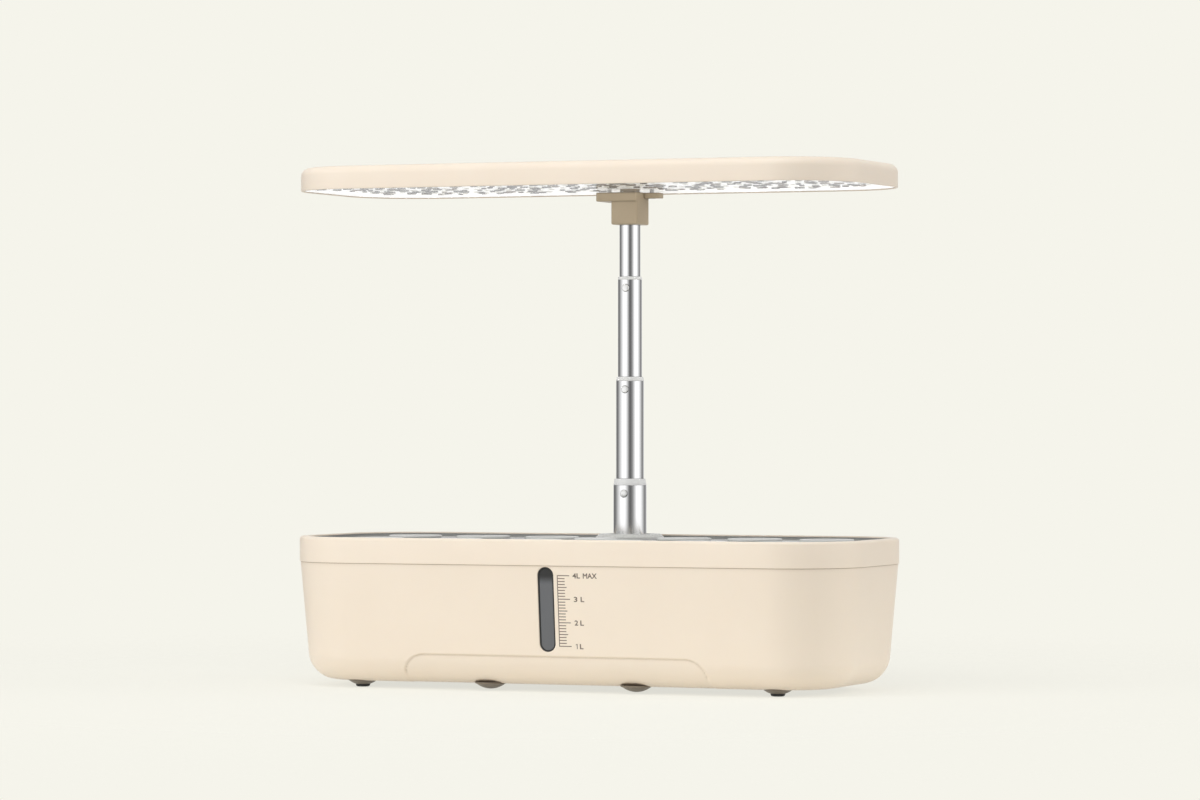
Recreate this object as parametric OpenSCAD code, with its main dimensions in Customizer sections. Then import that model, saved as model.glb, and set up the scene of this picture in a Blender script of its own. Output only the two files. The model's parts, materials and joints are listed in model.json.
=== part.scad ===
// Countertop hydroponic garden.
// A tapered water tank with a level window carries a lift-off deck with net baskets and a
// circulation pump. A telescoping mast plugs into the deck and carries a flat grow lamp.
// Origin: middle of the footprint, on the table. X runs along the length, -Y is the front.

/* [Plan] */
// Length of the rim, left to right
plan_l = 416; // [404:1:440]
// Depth of the rim, front to back
plan_w = 172; // [168:1:184]
// Radius of the four corners, seen from above
plan_r = 55; // [48:1:60]

/* [Tank] */
// Height of the tank's top edge, where the seam shows
seam_z = 86.8; // [85:0.2:96]
// Height of the tank's underside above the table
floor_z = 4.5; // [4:0.1:6]
// Wall of the tank
tank_wall = 2.4; // [2:0.1:2.8]
// Distance that the tank stands inside the rim at the seam
tank_step = 0.6; // [0.4:0.1:1]
// Slope of the side walls, in degrees
draft = 5.1; // [4:0.1:6]
// Radius between the side walls and the floor
bottom_r = 20; // [16:1:22]
// Half length of the relief panel on the front
relief_half_l = 112; // [100:1:120]
// Height of the relief panel's upper edge
relief_z = 25; // [22:1:28]
// Corner radius of the relief panel
relief_r = 15; // [12:1:16]
// Depth of the relief panel
relief_depth = 0.7; // [0.4:0.1:1]

/* [Feet] */
// Corner feet, distance from the rim's end
foot_end = 54; // [50:1:58]
// Corner feet, distance from the rim's side
foot_side = 32; // [28:1:36]
// Middle feet, distance from the middle along X
foot_inner_x = 54; // [45:1:70]
// Middle feet, distance from the rim's side
foot_inner_side = 26; // [26:1:32]
// Radius of the spherical foot domes
foot_r = 16; // [14:1:18]
// Height of the domes' lowest point above the table
foot_clear = 1; // [0.8:0.1:1.5]
// Diameter of a rubber pad
pad_d = 10; // [9:0.5:12]
// Thickness of a rubber pad
pad_t = 3.6; // [3.2:0.1:3.8]
// Radius of a rubber pad's lower edge
pad_edge_r = 1.5; // [0.5:0.1:1.6]

/* [Level window] */
// Middle of the window along X
window_x = -3; // [-20:1:20]
// Width of the slot
window_w = 11.5; // [10:0.5:14]
// Length of the slot
window_l = 58; // [50:1:59]
// Distance from the tank's top edge down to the slot
window_gap = 1; // [1:0.1:3]
// Thickness of the clear pane
pane_t = 1.2; // [0.8:0.1:1.3]
// Distance that the pane lies behind the wall's outer face
pane_recess = 0.9; // [0.6:0.1:1]
// Width of the gasket round the pane
gasket_w = 0.9; // [0.7:0.1:1.4]

/* [Rim and deck] */
// Height of the rim's top edge
rim_z = 104.5; // [103:0.5:112]
// Wall of the rim
rim_wall = 2.6; // [2.2:0.1:2.8]
// Radius of the rim's outer top edge
rim_edge_r = 2; // [1:0.1:2]
// Distance from the rim's top down to the deck
deck_recess = 2.8; // [2.6:0.1:4]
// Thickness of the deck
deck_t = 2.4; // [2:0.1:3]
// Height of the lower edge of the deck's skirt
skirt_z = 77.6; // [76:0.2:80]
// Thickness of the deck's skirt
skirt_t = 2; // [1.6:0.1:2.2]
// Gap between the skirt and the walls round it
skirt_gap = 0.4; // [0.3:0.1:0.5]
// Outer diameter of the hub ring
hub_d = 48; // [44:1:48]
// Inner diameter of the hub ring
hub_bore = 30.6; // [30:0.2:34]
// Height of the hub ring above the rim
hub_rise = 0.6; // [0.2:0.1:1]
// Middle of the fill opening along Y
fill_y = -2; // [-4:1:0]
// Diameter of the fill opening
fill_d = 24; // [20:1:24]

/* [Baskets] */
// Distance from the middle to the first rear basket
rear_first = 50; // [48:1:52]
// Distance between rear baskets
rear_pitch = 53; // [51:1:54]
// Rear row's distance from the rim's rear side
rear_edge = 48; // [46:1:50]
// Distance between front baskets
front_pitch = 60; // [56:1:62]
// Front row's distance from the rim's front side
front_edge = 46; // [44:1:48]
// Diameter of the holes in the deck
basket_hole = 31; // [30:0.5:32]
// Diameter of a basket's rim
basket_rim_d = 38; // [36:0.5:40]
// Height of a basket's rim above the deck
basket_rim_t = 1.6; // [1.2:0.1:1.8]
// Depth of a basket below the deck
basket_depth = 46; // [36:1:48]
// Wall of a basket
basket_wall = 1.4; // [1.2:0.1:1.6]
// Diameter at a basket's lower end, as a share of the hole
basket_taper = 0.78; // [0.7:0.01:0.9]
// Gap between a basket and its hole
basket_gap = 0.3; // [0.2:0.1:0.5]
// Slots round a basket
basket_slots = 6; // [4:1:8]
// Width of a basket's slot
basket_slot_w = 4; // [3:0.5:5]

/* [Mast] */
// Mast's distance from the rim's rear side
mast_edge = 24.6; // [24:0.2:26]
// Outer diameter of the lowest tube
tube_1_d = 23.4; // [23.2:0.1:23.6]
// Outer diameter of the second tube
tube_2_d = 19.6; // [19.5:0.1:19.7]
// Outer diameter of the third tube
tube_3_d = 17; // [16.9:0.1:17.1]
// Outer diameter of the top tube
tube_4_d = 14.8; // [14.6:0.1:14.9]
// Wall of the lowest tube
tube_1_wall = 1.1; // [0.9:0.1:1.2]
// Wall of the other tubes
tube_wall = 0.7; // [0.6:0.05:0.8]
// Height of the top of tube 1
tube_1_top = 139.6; // [137:0.2:144]
// Height of collar 1
collar_1_h = 4.5; // [3.5:0.1:5]
// Height of the top of tube 2
tube_2_top = 213.2; // [210:0.2:216]
// Height of collar 2
collar_2_h = 2.8; // [2:0.1:3.2]
// Height of the top of tube 3
tube_3_top = 284.8; // [282:0.2:288]
// Height of collar 3
collar_3_h = 2; // [1.6:0.1:2.4]
// Radial running clearance of the collars and slide bushes
run_gap = 0.05; // [0.03:0.01:0.08]
// Length of the sliding tubes that stays inside the next tube
overlap_l = 24.4; // [24:0.2:26]
// Height of the slide bushes
bush_h = 7; // [6:0.5:8]
// Distance from a tube's top down to its snap button
button_drop = 6; // [5.8:0.1:6.4]
// Diameter of a snap button
button_d = 5.2; // [4.8:0.1:5.4]
// Distance that a snap button stands out of its tube
button_proud = 0.9; // [0.6:0.1:1.2]
// Gap between a snap button and its hole
button_gap = 0.2; // [0.15:0.05:0.3]
// Thickness of the snap button's leaf spring
leaf_t = 0.6; // [0.4:0.1:0.8]
// Width of the leaf spring
leaf_w = 6; // [5:0.5:6.5]
// Diameter of the coiled lead inside the mast
lead_coil_d = 6.6; // [6:0.2:7]

/* [Mast sleeve] */
// Height of the sleeve's lower end
sleeve_z = 45.5; // [44:0.5:48]
// Wall of the sleeve
sleeve_wall = 1.5; // [1.3:0.1:1.6]
// Gap between the sleeve and the mast
sleeve_gap = 0.3; // [0.2:0.05:0.4]
// Diameter of the sleeve's flange
sleeve_flange_d = 40; // [38:0.5:40]
// Thickness of the sleeve's flange
sleeve_flange_t = 2.2; // [2:0.1:3]

/* [Lamp] */
// Height of the lamp's lower edge
lamp_z = 345.5; // [343:0.5:350]
// Thickness of the lamp
lamp_h = 16.3; // [15.5:0.1:18]
// Distance that the lamp's plan stands inside the rim's plan
lamp_inset = 0.8; // [0.4:0.1:2]
// Wall of the lamp housing
lamp_wall = 2; // [1.8:0.1:2.4]
// Radius of the lamp's top edge
lamp_edge_r = 6; // [4:0.5:7]
// Distance from the lamp's lower edge up to the lens
lens_recess = 0.6; // [0.4:0.1:1.2]
// Thickness of the lens
lens_t = 1.4; // [1.2:0.1:1.8]
// Distance from the lens up to the board
board_gap = 1.2; // [1.1:0.1:1.6]
// Thickness of the board
board_t = 1.4; // [1:0.1:1.6]
// Side gap of the lens and the board
lens_gap = 0.2; // [0.1:0.05:0.3]
// Width of the ledge between the lens and the board
ledge_w = 2.4; // [2:0.1:3]
// Distance between LEDs along X
led_pitch_x = 16.5; // [15:0.5:18]
// Distance between LED rows along Y
led_pitch_y = 18; // [17:0.5:19]
// LED rows
led_rows = 9; // [7:2:9]
// Side of an LED
led_size = 3; // [2.4:0.1:3.4]
// Thickness of an LED
led_t = 1; // [0.5:0.1:1]

/* [Head bracket] */
// Width of the socket along X
socket_w = 20; // [19:0.5:22]
// Depth of the socket along Y
socket_l = 23; // [20:0.5:23]
// Height of the socket's lower end
socket_z = 323.4; // [320:0.2:326]
// Thickness of the flange
flange_t = 6.3; // [5.5:0.1:7]
// Reach of the flange's wings from the mast's axis
wing_l = 21.2; // [20:0.2:24]
// Thickness of the rear tab
tab_t = 3.9; // [3.5:0.1:5]
// Width of the rear tab along Y
tab_w = 10; // [9:0.5:11]
// Corner radius of the bracket
bracket_r = 2.4; // [1.5:0.1:3]
// Diameter of the screws' shafts
screw_d = 3; // [2.5:0.1:3.2]

/* [Controls] */
// Diameter of the push buttons on the lamp
key_d = 9; // [8:0.5:10]
// Distance between the push buttons
key_pitch = 22; // [18:1:26]
// Buttons' distance from the rim's rear side
key_edge = 46; // [42:1:50]
// Travel of the push buttons
key_travel = 0.8; // [0.6:0.1:1]

/* [Pump] */
// Pump's middle along X
pump_x = 77; // [75:1:79]
// Pump's middle along Y
pump_y = -3; // [-4:1:-2]
// Length of the pump along X
pump_l = 42; // [40:1:44]
// Depth of the pump along Y
pump_w = 30; // [28:1:32]
// Height of the pump
pump_h = 28; // [27:1:30]
// Gap between the pump and the tank's floor
pump_gap = 0.4; // [0.3:0.1:1]
// Outer diameter of the riser tube
riser_d = 8; // [7:0.5:9]

/* [Inlet] */
// Inlet's place along X
inlet_x = 76; // [72:1:80]
// Diameter of the inlet's barrel
inlet_d = 8; // [7.5:0.5:8]
// Length of the inlet's barrel behind the rim
inlet_l = 15; // [14:0.5:16]

/* [Hidden] */

cream = [0.95, 0.89, 0.81];
deck_grey = [0.42, 0.43, 0.41];
taupe = [0.66, 0.6, 0.5];
steel = [0.78, 0.79, 0.8];
smoke = [0.35, 0.36, 0.38];
black = [0.12, 0.12, 0.12];
white = [0.93, 0.93, 0.92];

// Fineness of curves
corner_steps = 12;
ring_n = 4 * (corner_steps + 1);
fillet_steps = 6;
round_fn = 48;
small_fn = 32;
// Overshoot of cuts, so that they end in free air
over = 1;
// Side gap between pieces that are pressed together
press_gap = 0.02;

// Tank
fillet_z = floor_z + bottom_r;
fillet_inset = tank_inset(fillet_z) + bottom_r / cos(draft);
tank_floor_top = floor_z + tank_wall;
window_foot = window_gap + window_l;
relief_back = bottom_r + 8;
dome_h = bottom_r / 2;
corner_feet = [for (sx = [-1, 1]) for (sy = [-1, 1])
    [sx * (plan_l / 2 - foot_end), sy * (plan_w / 2 - foot_side)]];
middle_feet = [for (sx = [-1, 1]) for (sy = [-1, 1])
    [sx * foot_inner_x, sy * (plan_w / 2 - foot_inner_side)]];

// Rim and deck
deck_top = rim_z - deck_recess;
deck_under = deck_top - deck_t;
lip_t = 1;
skirt_inset = tank_inset(skirt_z, tank_wall) + skirt_gap;
tray_inset = skirt_inset + skirt_t;
skirt_top = rim_z - lip_t;
shoulder_h = 2;
shoulder_gap = 0.25;
boss_wall = 1.6;
boss_h = 3;
hub_wall_h = 1.4;
hub_slope = 2.6;
rear_y = plan_w / 2 - rear_edge;
front_y = front_edge - plan_w / 2;
rear_sites = [for (side = [-1, 1]) for (i = [0 : 2]) [side * (rear_first + i * rear_pitch), rear_y]];
front_sites = [for (i = [-2.5 : 2.5]) [i * front_pitch, front_y]];
basket_sites = concat(rear_sites, front_sites);
cap_rim = 3;
cap_t = 2;
cap_plug = 6;

// Lamp
lamp_top = lamp_z + lamp_h;
skin_under = lamp_top - lamp_wall;
lens_z = lamp_z + lens_recess;
lens_top = lens_z + lens_t;
board_z = lens_top + board_gap;
board_top = board_z + board_t;
board_inset = lamp_inset + lamp_wall + lens_gap;
ledge_h = 3;
post_d = 6;
post_end = 52;
post_side = 22;
post_sites = [for (share = [-1, -0.5, 0.5, 1]) for (side = [-1, 1])
    [share * (plan_l / 2 - post_end), side * (plan_w / 2 - post_side)]];
led_margin = 9;
led_cols = 2 * floor((plan_l / 2 - board_inset - led_margin) / led_pitch_x) + 1;
led_keep_out = 25;

// Mast
mast_y = plan_w / 2 - mast_edge;
tube_ds = [tube_1_d, tube_2_d, tube_3_d, tube_4_d];
bores = [tube_1_d - 2 * tube_1_wall, tube_2_d - 2 * tube_wall, tube_3_d - 2 * tube_wall,
    tube_4_d - 2 * tube_wall];
sleeve_bore = tube_1_d + 2 * sleeve_gap;
sleeve_d = sleeve_bore + 2 * sleeve_wall;
sleeve_floor_t = 2;
sleeve_rise = 1.4;
sleeve_top = deck_top + sleeve_rise;
deck_hole_gap = 0.1;
rear_gap = 0.1;
sleeve_screw_turns = [30, 150, 270];
plug_z = sleeve_z + sleeve_floor_t;
plug_h = 9;
plug_flange_t = 1;
tops = [tube_1_top, tube_2_top, tube_3_top, lens_z - flange_t / 2];
feet = [plug_z + plug_flange_t, tops[0] - overlap_l, tops[1] - overlap_l, tops[2] - overlap_l];
collar_hs = [collar_1_h, collar_2_h, collar_3_h];
collar_lip = 1;
spigot_h = 2.4;
leaf_up = button_d / 2 + 0.4;
leaf_down = 14;
leaf_gap = 0.2;
lead_shift = 1.8;
lead_ends = [plug_z + plug_h, feet[1], feet[2], feet[3], board_top];

// Head bracket
spigot_d = 14;
spigot_rise = 2;
spigot_bore = 2 * (lead_coil_d / 2 + lead_shift) + 0.4;
chamfer_t = 0.1;
board_hole_d = spigot_d + 1;
flange_proud = 1;
socket_chamfer = 1.2;
screw_gap = 0.2;
thread_gap = 0.05;
head_d = 5.4;
head_h = 2;
boss_d = 7;
left_screw = [-(socket_w / 2 + wing_l) / 2, 0];
right_screw_in = 1.5;
right_screw = [(socket_w / 2 + wing_l) / 2 - right_screw_in, socket_l / 2 - tab_w / 2];
screw_tip = skin_under - 3;
screw_tip_gap = 0.2;
sleeve_screw_r = (sleeve_d + sleeve_flange_d) / 4;

// Controls
key_y = plan_w / 2 - key_edge;
key_stem = 2.4;
key_flange_d = key_d + 2;
key_flange_t = 1;
key_proud = 0.5;
key_gap = 0.2;
switch_h = 2.6;
switch_w = 6;
control_t = 1.2;
control_l = 60;
control_w = 24;
control_r = 2;
control_top = skin_under - key_stem - key_travel - key_gap - switch_h;

// Pump
pump_z = tank_floor_top + pump_gap;
pump_front = pump_x + pump_l / 2;
pump_wall = 2;
pump_r = 3;
volute_floor = 1.5;
shaft_d = 2;
rotor_d = 12;
rotor_l = 16;
vane_d = 16;
vane_l = 5;
vane_t = 1.4;
vane_n = 6;
vane_gap = 0.6;
vane_hub_d = 5.2;
vane_tip_in = 0.1;
volute_room = 2;
volute_d = vane_d + 2 * vane_gap + volute_room;
volute_x = pump_front - vane_l - 2 * vane_gap;
pump_axis_z = pump_z + pump_wall + volute_floor + volute_d / 2;
shaft_seat = 4;
cover_t = 3;
cover_slots = 5;
cover_frame = 2;
riser_x = (pump_front + volute_x) / 2;
riser_wall = 1;
riser_bore = riser_d - 2 * riser_wall;
stub_wall = 1;
stub_h = 6;
spray_d = 3;

// Inlet and leads
inlet_z = (seam_z + deck_under) / 2;
inlet_flange_d = inlet_d + 3;
inlet_flange_t = 1.4;
inlet_bore = 5.6;
inlet_pin_d = 2;
inlet_gap = 0.1;
inlet_floor = 4;
inlet_pin_root = 3;
inlet_pin_sunk = 2;
nut_w = inlet_d + 3;
nut_t = 3;
skirt_in_y = plan_w / 2 - tray_inset;
lead_d = 3;
lead_sides = 8;
lead_steps = 4;
inlet_back = plan_w / 2 - inlet_l;
lead_gap = 0.3;
lead_y = inlet_back - lead_gap;
pump_top = pump_z + pump_h;
mast_lead_route = [[inlet_x - 2, lead_y, inlet_z], [inlet_x - 2, lead_y - 3, inlet_z],
    [inlet_x - 12, mast_y, inlet_z + 2], [(inlet_x + sleeve_d / 2) / 2, mast_y, inlet_z + 2],
    [sleeve_d / 2 + 4, mast_y, inlet_z + 2], [sleeve_d / 2 + lead_gap, mast_y, inlet_z + 2]];
pump_lead_route = [[inlet_x + 2, lead_y, inlet_z], [inlet_x + 2, lead_y - 4, inlet_z],
    [inlet_x + 1, lead_y - 18, inlet_z - 14], [inlet_x + 1, lead_y - 34, inlet_z - 34],
    [pump_x, pump_y + 18, pump_top + 9], [pump_x, pump_y + 10, pump_top + 6],
    [pump_x, pump_y + 10, pump_top + lead_gap]];

// ---------------------------------------------------------------- plan outlines

// Inset of the tank's side wall at height z; off moves the wall inwards by its thickness
function tank_inset(z, off = 0) = tank_step + (seam_z - z) * tan(draft) + off / cos(draft);

// One ring of points round the plan, moved inwards by inset, at height z
function plan_ring(inset, z) = [for (c = [0 : 3]) for (k = [0 : corner_steps])
    let (a = 90 * (c + k / corner_steps),
         sx = (c == 0 || c == 3) ? 1 : -1,
         sy = c < 2 ? 1 : -1)
    [sx * (plan_l / 2 - plan_r) + (plan_r - inset) * cos(a),
     sy * (plan_w / 2 - plan_r) + (plan_r - inset) * sin(a), z]];

// Faces between neighbouring rings of n points; closed joins the last ring to the first
function side_faces(rows, n, closed) = [for (j = [0 : rows - (closed ? 1 : 2)]) for (i = [0 : n - 1])
    let (up = (j + 1) % rows, next = (i + 1) % n)
    [j * n + i, up * n + i, up * n + next, j * n + next]];

// Solid through a stack of rings of n points, from the bottom up
module skin(rings, n) {
    polyhedron(
        points = [for (r = rings) each r],
        faces = [
            each side_faces(len(rings), n, false),
            [for (i = [0 : n - 1]) i],
            [for (i = [n - 1 : -1 : 0]) (len(rings) - 1) * n + i]
        ]
    );
}

// Solid through plan rings, given as [inset, z] from the bottom up
module loft(rows) {
    skin([for (r = rows) plan_ring(r[0], r[1])], ring_n);
}

// Ring round the plan; its section is given as [inset, z], up the outer side first
module band(section) {
    polyhedron(
        points = [for (r = section) each plan_ring(r[0], r[1])],
        faces = side_faces(len(section), ring_n, true)
    );
}

// Rounded rectangle with true corner arcs
module round_rect(l, w, r) {
    square([l - 2 * r, w], center = true);
    square([l, w - 2 * r], center = true);
    for (sx = [-1, 1]) for (sy = [-1, 1])
        translate([sx * (l / 2 - r), sy * (w / 2 - r)]) circle(r, $fn = round_fn);
}

module plan_2d(inset) {
    round_rect(plan_l - 2 * inset, plan_w - 2 * inset, plan_r - inset);
}

module plan_plate(inset, z0, z1) {
    translate([0, 0, z0]) linear_extrude(z1 - z0) plan_2d(inset);
}

module plan_wall(inset_out, inset_in, z0, z1) {
    translate([0, 0, z0]) linear_extrude(z1 - z0) difference() {
        plan_2d(inset_out);
        plan_2d(inset_in);
    }
}

module rod(d, z0, z1, fn = round_fn) {
    translate([0, 0, z0]) cylinder(h = z1 - z0, d = d, $fn = fn);
}

module pipe(d, bore, z0, z1, fn = round_fn) {
    difference() {
        rod(d, z0, z1, fn);
        rod(bore, z0 - over, z1 + over, fn);
    }
}

// Cylinder along Y, from y0 to y1
module rod_y(d, y0, y1, fn = small_fn) {
    translate([0, y1, 0]) rotate([90, 0, 0]) cylinder(h = y1 - y0, d = d, $fn = fn);
}

// Cylinder along X, from x0 to x1
module rod_x(d, x0, x1, fn = small_fn) {
    translate([x0, 0, 0]) rotate([0, 90, 0]) cylinder(h = x1 - x0, d = d, $fn = fn);
}

module at(site) {
    translate([site[0], site[1], 0]) children();
}

module at_mast() {
    translate([0, mast_y, 0]) children();
}

// ---------------------------------------------------------------- tank

// Rings of the tank; off = 0 is its outside, off = tank_wall its inside
function tank_rows(off, top) = [
    for (k = [0 : fillet_steps])
        let (a = 90 + (draft - 90) * k / fillet_steps)
        [fillet_inset - (bottom_r - off) * cos(a), fillet_z - (bottom_r - off) * sin(a)],
    [tank_inset(top, off), top]
];

// Places its children on the front wall: origin on the tank's top edge, Z up the wall, -Y out
module on_front_wall() {
    translate([window_x, -plan_w / 2 + tank_step, seam_z]) rotate([draft, 0, 0]) children();
}

// Round-ended slot in the front wall, from depth y0 to y1 behind the outer face
module window_slot(grow, y0, y1) {
    r = window_w / 2 + grow;
    l = window_l + 2 * grow;
    on_front_wall()
        translate([0, y1, -window_foot - grow]) rotate([90, 0, 0]) linear_extrude(y1 - y0) {
            translate([0, r]) circle(r, $fn = small_fn);
            translate([0, l - r]) circle(r, $fn = small_fn);
            translate([-r, r]) square([2 * r, l - 2 * r]);
        }
}

module relief_outline() {
    translate([-relief_half_l + relief_r, -over])
        square([2 * (relief_half_l - relief_r), relief_z + over]);
    translate([-relief_half_l, -over])
        square([2 * relief_half_l, relief_z + over - relief_r]);
    for (s = [-1, 1])
        translate([s * (relief_half_l - relief_r), relief_z - relief_r])
            circle(relief_r, $fn = round_fn);
}

// The skin of the wall, relief_depth thick, inside the relief panel's outline
module relief_cut() {
    difference() {
        translate([0, -plan_w / 2 + relief_back, 0]) rotate([90, 0, 0])
            linear_extrude(relief_back + over) relief_outline();
        loft(tank_rows(relief_depth, seam_z));
    }
}

module foot_dome(site) {
    at(site) intersection() {
        translate([0, 0, foot_clear + foot_r]) sphere(foot_r, $fn = round_fn);
        rod(3 * foot_r, 0, foot_clear + dome_h);
    }
}

module tank_shell() {
    color(cream) difference() {
        union() {
            difference() {
                loft(tank_rows(0, seam_z));
                relief_cut();
            }
            for (site = concat(corner_feet, middle_feet)) foot_dome(site);
        }
        loft(tank_rows(tank_wall, seam_z + over));
        window_slot(0, -over, tank_wall + over);
        for (site = corner_feet) at(site) rod(pad_d, -over, pad_t, small_fn);
    }
}

module level_window() {
    color(smoke) window_slot(-gasket_w - press_gap, pane_recess, pane_recess + pane_t);
}

module window_gasket() {
    color(black) difference() {
        window_slot(-press_gap, pane_recess / 2, tank_wall);
        window_slot(-gasket_w, -over, tank_wall + over);
    }
}

// Round pads, each with a rounded lower edge
module foot_pads() {
    r = pad_d / 2 - press_gap;
    color(black) for (site = corner_feet) at(site) rotate_extrude($fn = small_fn) polygon([
        [0, 0],
        for (k = [0 : fillet_steps])
            let (a = 90 * k / fillet_steps)
            [r - pad_edge_r * (1 - sin(a)), pad_edge_r * (1 - cos(a))],
        [r, pad_t],
        [0, pad_t]
    ]);
}

// ---------------------------------------------------------------- rim and deck

// Hole through the rear wall for the inlet's barrel
module inlet_hole(y0) {
    translate([inlet_x, 0, inlet_z]) rod_y(inlet_d + 2 * inlet_gap, y0, plan_w / 2 + over);
}

module rim_frame() {
    color(cream) difference() {
        band([
            [0, seam_z],
            for (k = [0 : fillet_steps])
                let (a = 90 * k / fillet_steps)
                [rim_edge_r * (1 - cos(a)), rim_z - rim_edge_r * (1 - sin(a))],
            [tray_inset, rim_z],
            [tray_inset, rim_z - lip_t],
            [rim_wall, rim_z - lip_t],
            [rim_wall, seam_z]
        ]);
        inlet_hole(plan_w / 2 - rim_wall - over);
        translate([inlet_x, 0, inlet_z])
            rod_y(inlet_flange_d + 2 * inlet_gap, plan_w / 2 - inlet_flange_t, plan_w / 2 + over);
    }
}

module planting_deck() {
    color(deck_grey) difference() {
        union() {
            plan_plate(skirt_inset + skirt_t / 2, deck_under, deck_top);
            plan_wall(skirt_inset, tray_inset, skirt_z, skirt_top);
            plan_wall(rim_wall + shoulder_gap, tray_inset, seam_z + shoulder_gap, seam_z + shoulder_h);
            for (site = basket_sites)
                at(site) rod(basket_hole + 2 * boss_wall, deck_under - boss_h, deck_under + deck_t / 2);
            at([0, fill_y]) rod(fill_d + 2 * boss_wall, deck_under - boss_h, deck_under + deck_t / 2);
            at([riser_x, pump_y])
                rod(riser_bore - 2 * press_gap, deck_under - stub_h, deck_under + deck_t / 2);
        }
        for (site = basket_sites) at(site) rod(basket_hole, deck_under - boss_h - over, rim_z);
        at([0, fill_y]) rod(fill_d, deck_under - boss_h - over, rim_z);
        at_mast() rod(sleeve_d + 2 * deck_hole_gap, deck_under - over, rim_z);
        inlet_hole(skirt_in_y - over);
    }
}

// Space from the skirt's rear wall on, with a gap; it cuts off what stands against the wall
module behind_deck(z0, z1) {
    translate([-hub_d, skirt_in_y - rear_gap, z0]) cube([2 * hub_d, hub_d, z1 - z0]);
}

// Ring round the mast's foot, cut off flat where it meets the deck's rear wall
module hub_ring() {
    color(white) difference() {
        at_mast() rotate_extrude($fn = round_fn) polygon([
            [hub_bore / 2, deck_top],
            [hub_d / 2, deck_top],
            [hub_d / 2, deck_top + hub_wall_h],
            [hub_d / 2 - hub_slope, rim_z + hub_rise],
            [hub_bore / 2, rim_z + hub_rise]
        ]);
        behind_deck(deck_top - over, rim_z + hub_rise + over);
    }
}

// Closed socket for the mast; its flange is screwed under the deck
module mast_sleeve() {
    flange_z = deck_under - sleeve_flange_t;
    color(deck_grey) difference() {
        at_mast() union() {
            rod(sleeve_d, sleeve_z, sleeve_top);
            rod(sleeve_flange_d, flange_z, deck_under);
        }
        at_mast() rod(sleeve_bore, plug_z, sleeve_top + over);
        at_sleeve_screws() rod(screw_d, flange_z - over, deck_under + over, small_fn);
        behind_deck(flange_z - over, deck_under + over);
    }
}

module at_sleeve_screws() {
    at_mast() for (turn = sleeve_screw_turns) rotate(turn) translate([sleeve_screw_r, 0, 0]) children();
}

// Short screws through the sleeve's flange; each ends under the deck
module sleeve_screws() {
    color(steel) at_sleeve_screws() {
        rod(screw_d - 2 * thread_gap, deck_under - sleeve_flange_t - head_h / 2, deck_under, small_fn);
        rod(head_d, deck_under - sleeve_flange_t - head_h, deck_under - sleeve_flange_t, small_fn);
    }
}

module dc_inlet() {
    color(black) translate([inlet_x, 0, inlet_z]) {
        difference() {
            union() {
                rod_y(inlet_d, inlet_back, plan_w / 2);
                rod_y(inlet_flange_d, plan_w / 2 - inlet_flange_t, plan_w / 2);
            }
            rod_y(inlet_bore, inlet_back + inlet_floor, plan_w / 2 + over);
        }
        rod_y(inlet_pin_d, inlet_back + inlet_pin_root, plan_w / 2 - inlet_pin_sunk);
    }
}

module inlet_nut() {
    color(steel) translate([inlet_x, 0, inlet_z]) difference() {
        translate([0, skirt_in_y, 0]) rotate([90, 0, 0])
            cylinder(h = nut_t, d = nut_w / cos(30), $fn = 6);
        rod_y(inlet_d + 2 * thread_gap, skirt_in_y - nut_t - over, skirt_in_y + over);
    }
}

// ---------------------------------------------------------------- leads

// Point on the smooth curve through p, at place t between points i and i + 1
function curve_point(p, i, t) =
    let (n = len(p) - 1, a = p[max(i - 1, 0)], b = p[i], c = p[min(i + 1, n)], d = p[min(i + 2, n)])
    0.5 * (2 * b + (c - a) * t + (2 * a - 5 * b + 4 * c - d) * t * t
        + (3 * b - a - 3 * c + d) * t * t * t);

function curve(p) = [for (i = [0 : len(p) - 2]) for (k = [0 : lead_steps - 1])
    curve_point(p, i, k / lead_steps), p[len(p) - 1]];

function unit(v) = v / norm(v);

// Ring of points round a lead at q, square to direction dir
function lead_ring(q, dir) =
    let (side = unit(cross(dir, abs(dir[2]) < 0.9 ? [0, 0, 1] : [1, 0, 0])), up = cross(dir, side))
    [for (i = [0 : lead_sides - 1])
        let (a = -360 * i / lead_sides)
        q + lead_d / 2 * (cos(a) * side + sin(a) * up)];

module lead(route) {
    path = curve(route);
    last = len(path) - 1;
    skin([for (i = [0 : last])
        lead_ring(path[i], unit(path[min(i + 1, last)] - path[max(i - 1, 0)]))], lead_sides);
}

// Two leads from the inlet: one to the mast's sleeve, one down to the pump
module deck_leads() {
    color(black) {
        lead(mast_lead_route);
        lead(pump_lead_route);
    }
}

// ---------------------------------------------------------------- pump

module at_pump_axis() {
    translate([0, pump_y, pump_axis_z]) children();
}

module pump_body() {
    color(black) difference() {
        union() {
            translate([pump_x, pump_y, pump_z]) linear_extrude(pump_h) round_rect(pump_l, pump_w, pump_r);
            at([riser_x, pump_y])
                rod(riser_bore - 2 * press_gap, pump_top - over, pump_top + stub_h);
        }
        at_pump_axis() {
            rod_x(rotor_d + 2 * vane_gap, volute_x - rotor_l - vane_gap, pump_front);
            rod_x(volute_d, volute_x, pump_front + over);
            rod_x(shaft_d, volute_x - rotor_l - vane_gap - shaft_seat, volute_x);
        }
        at([riser_x, pump_y]) rod(riser_bore - 2 * stub_wall, pump_axis_z, pump_top + stub_h + over);
    }
}

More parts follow.
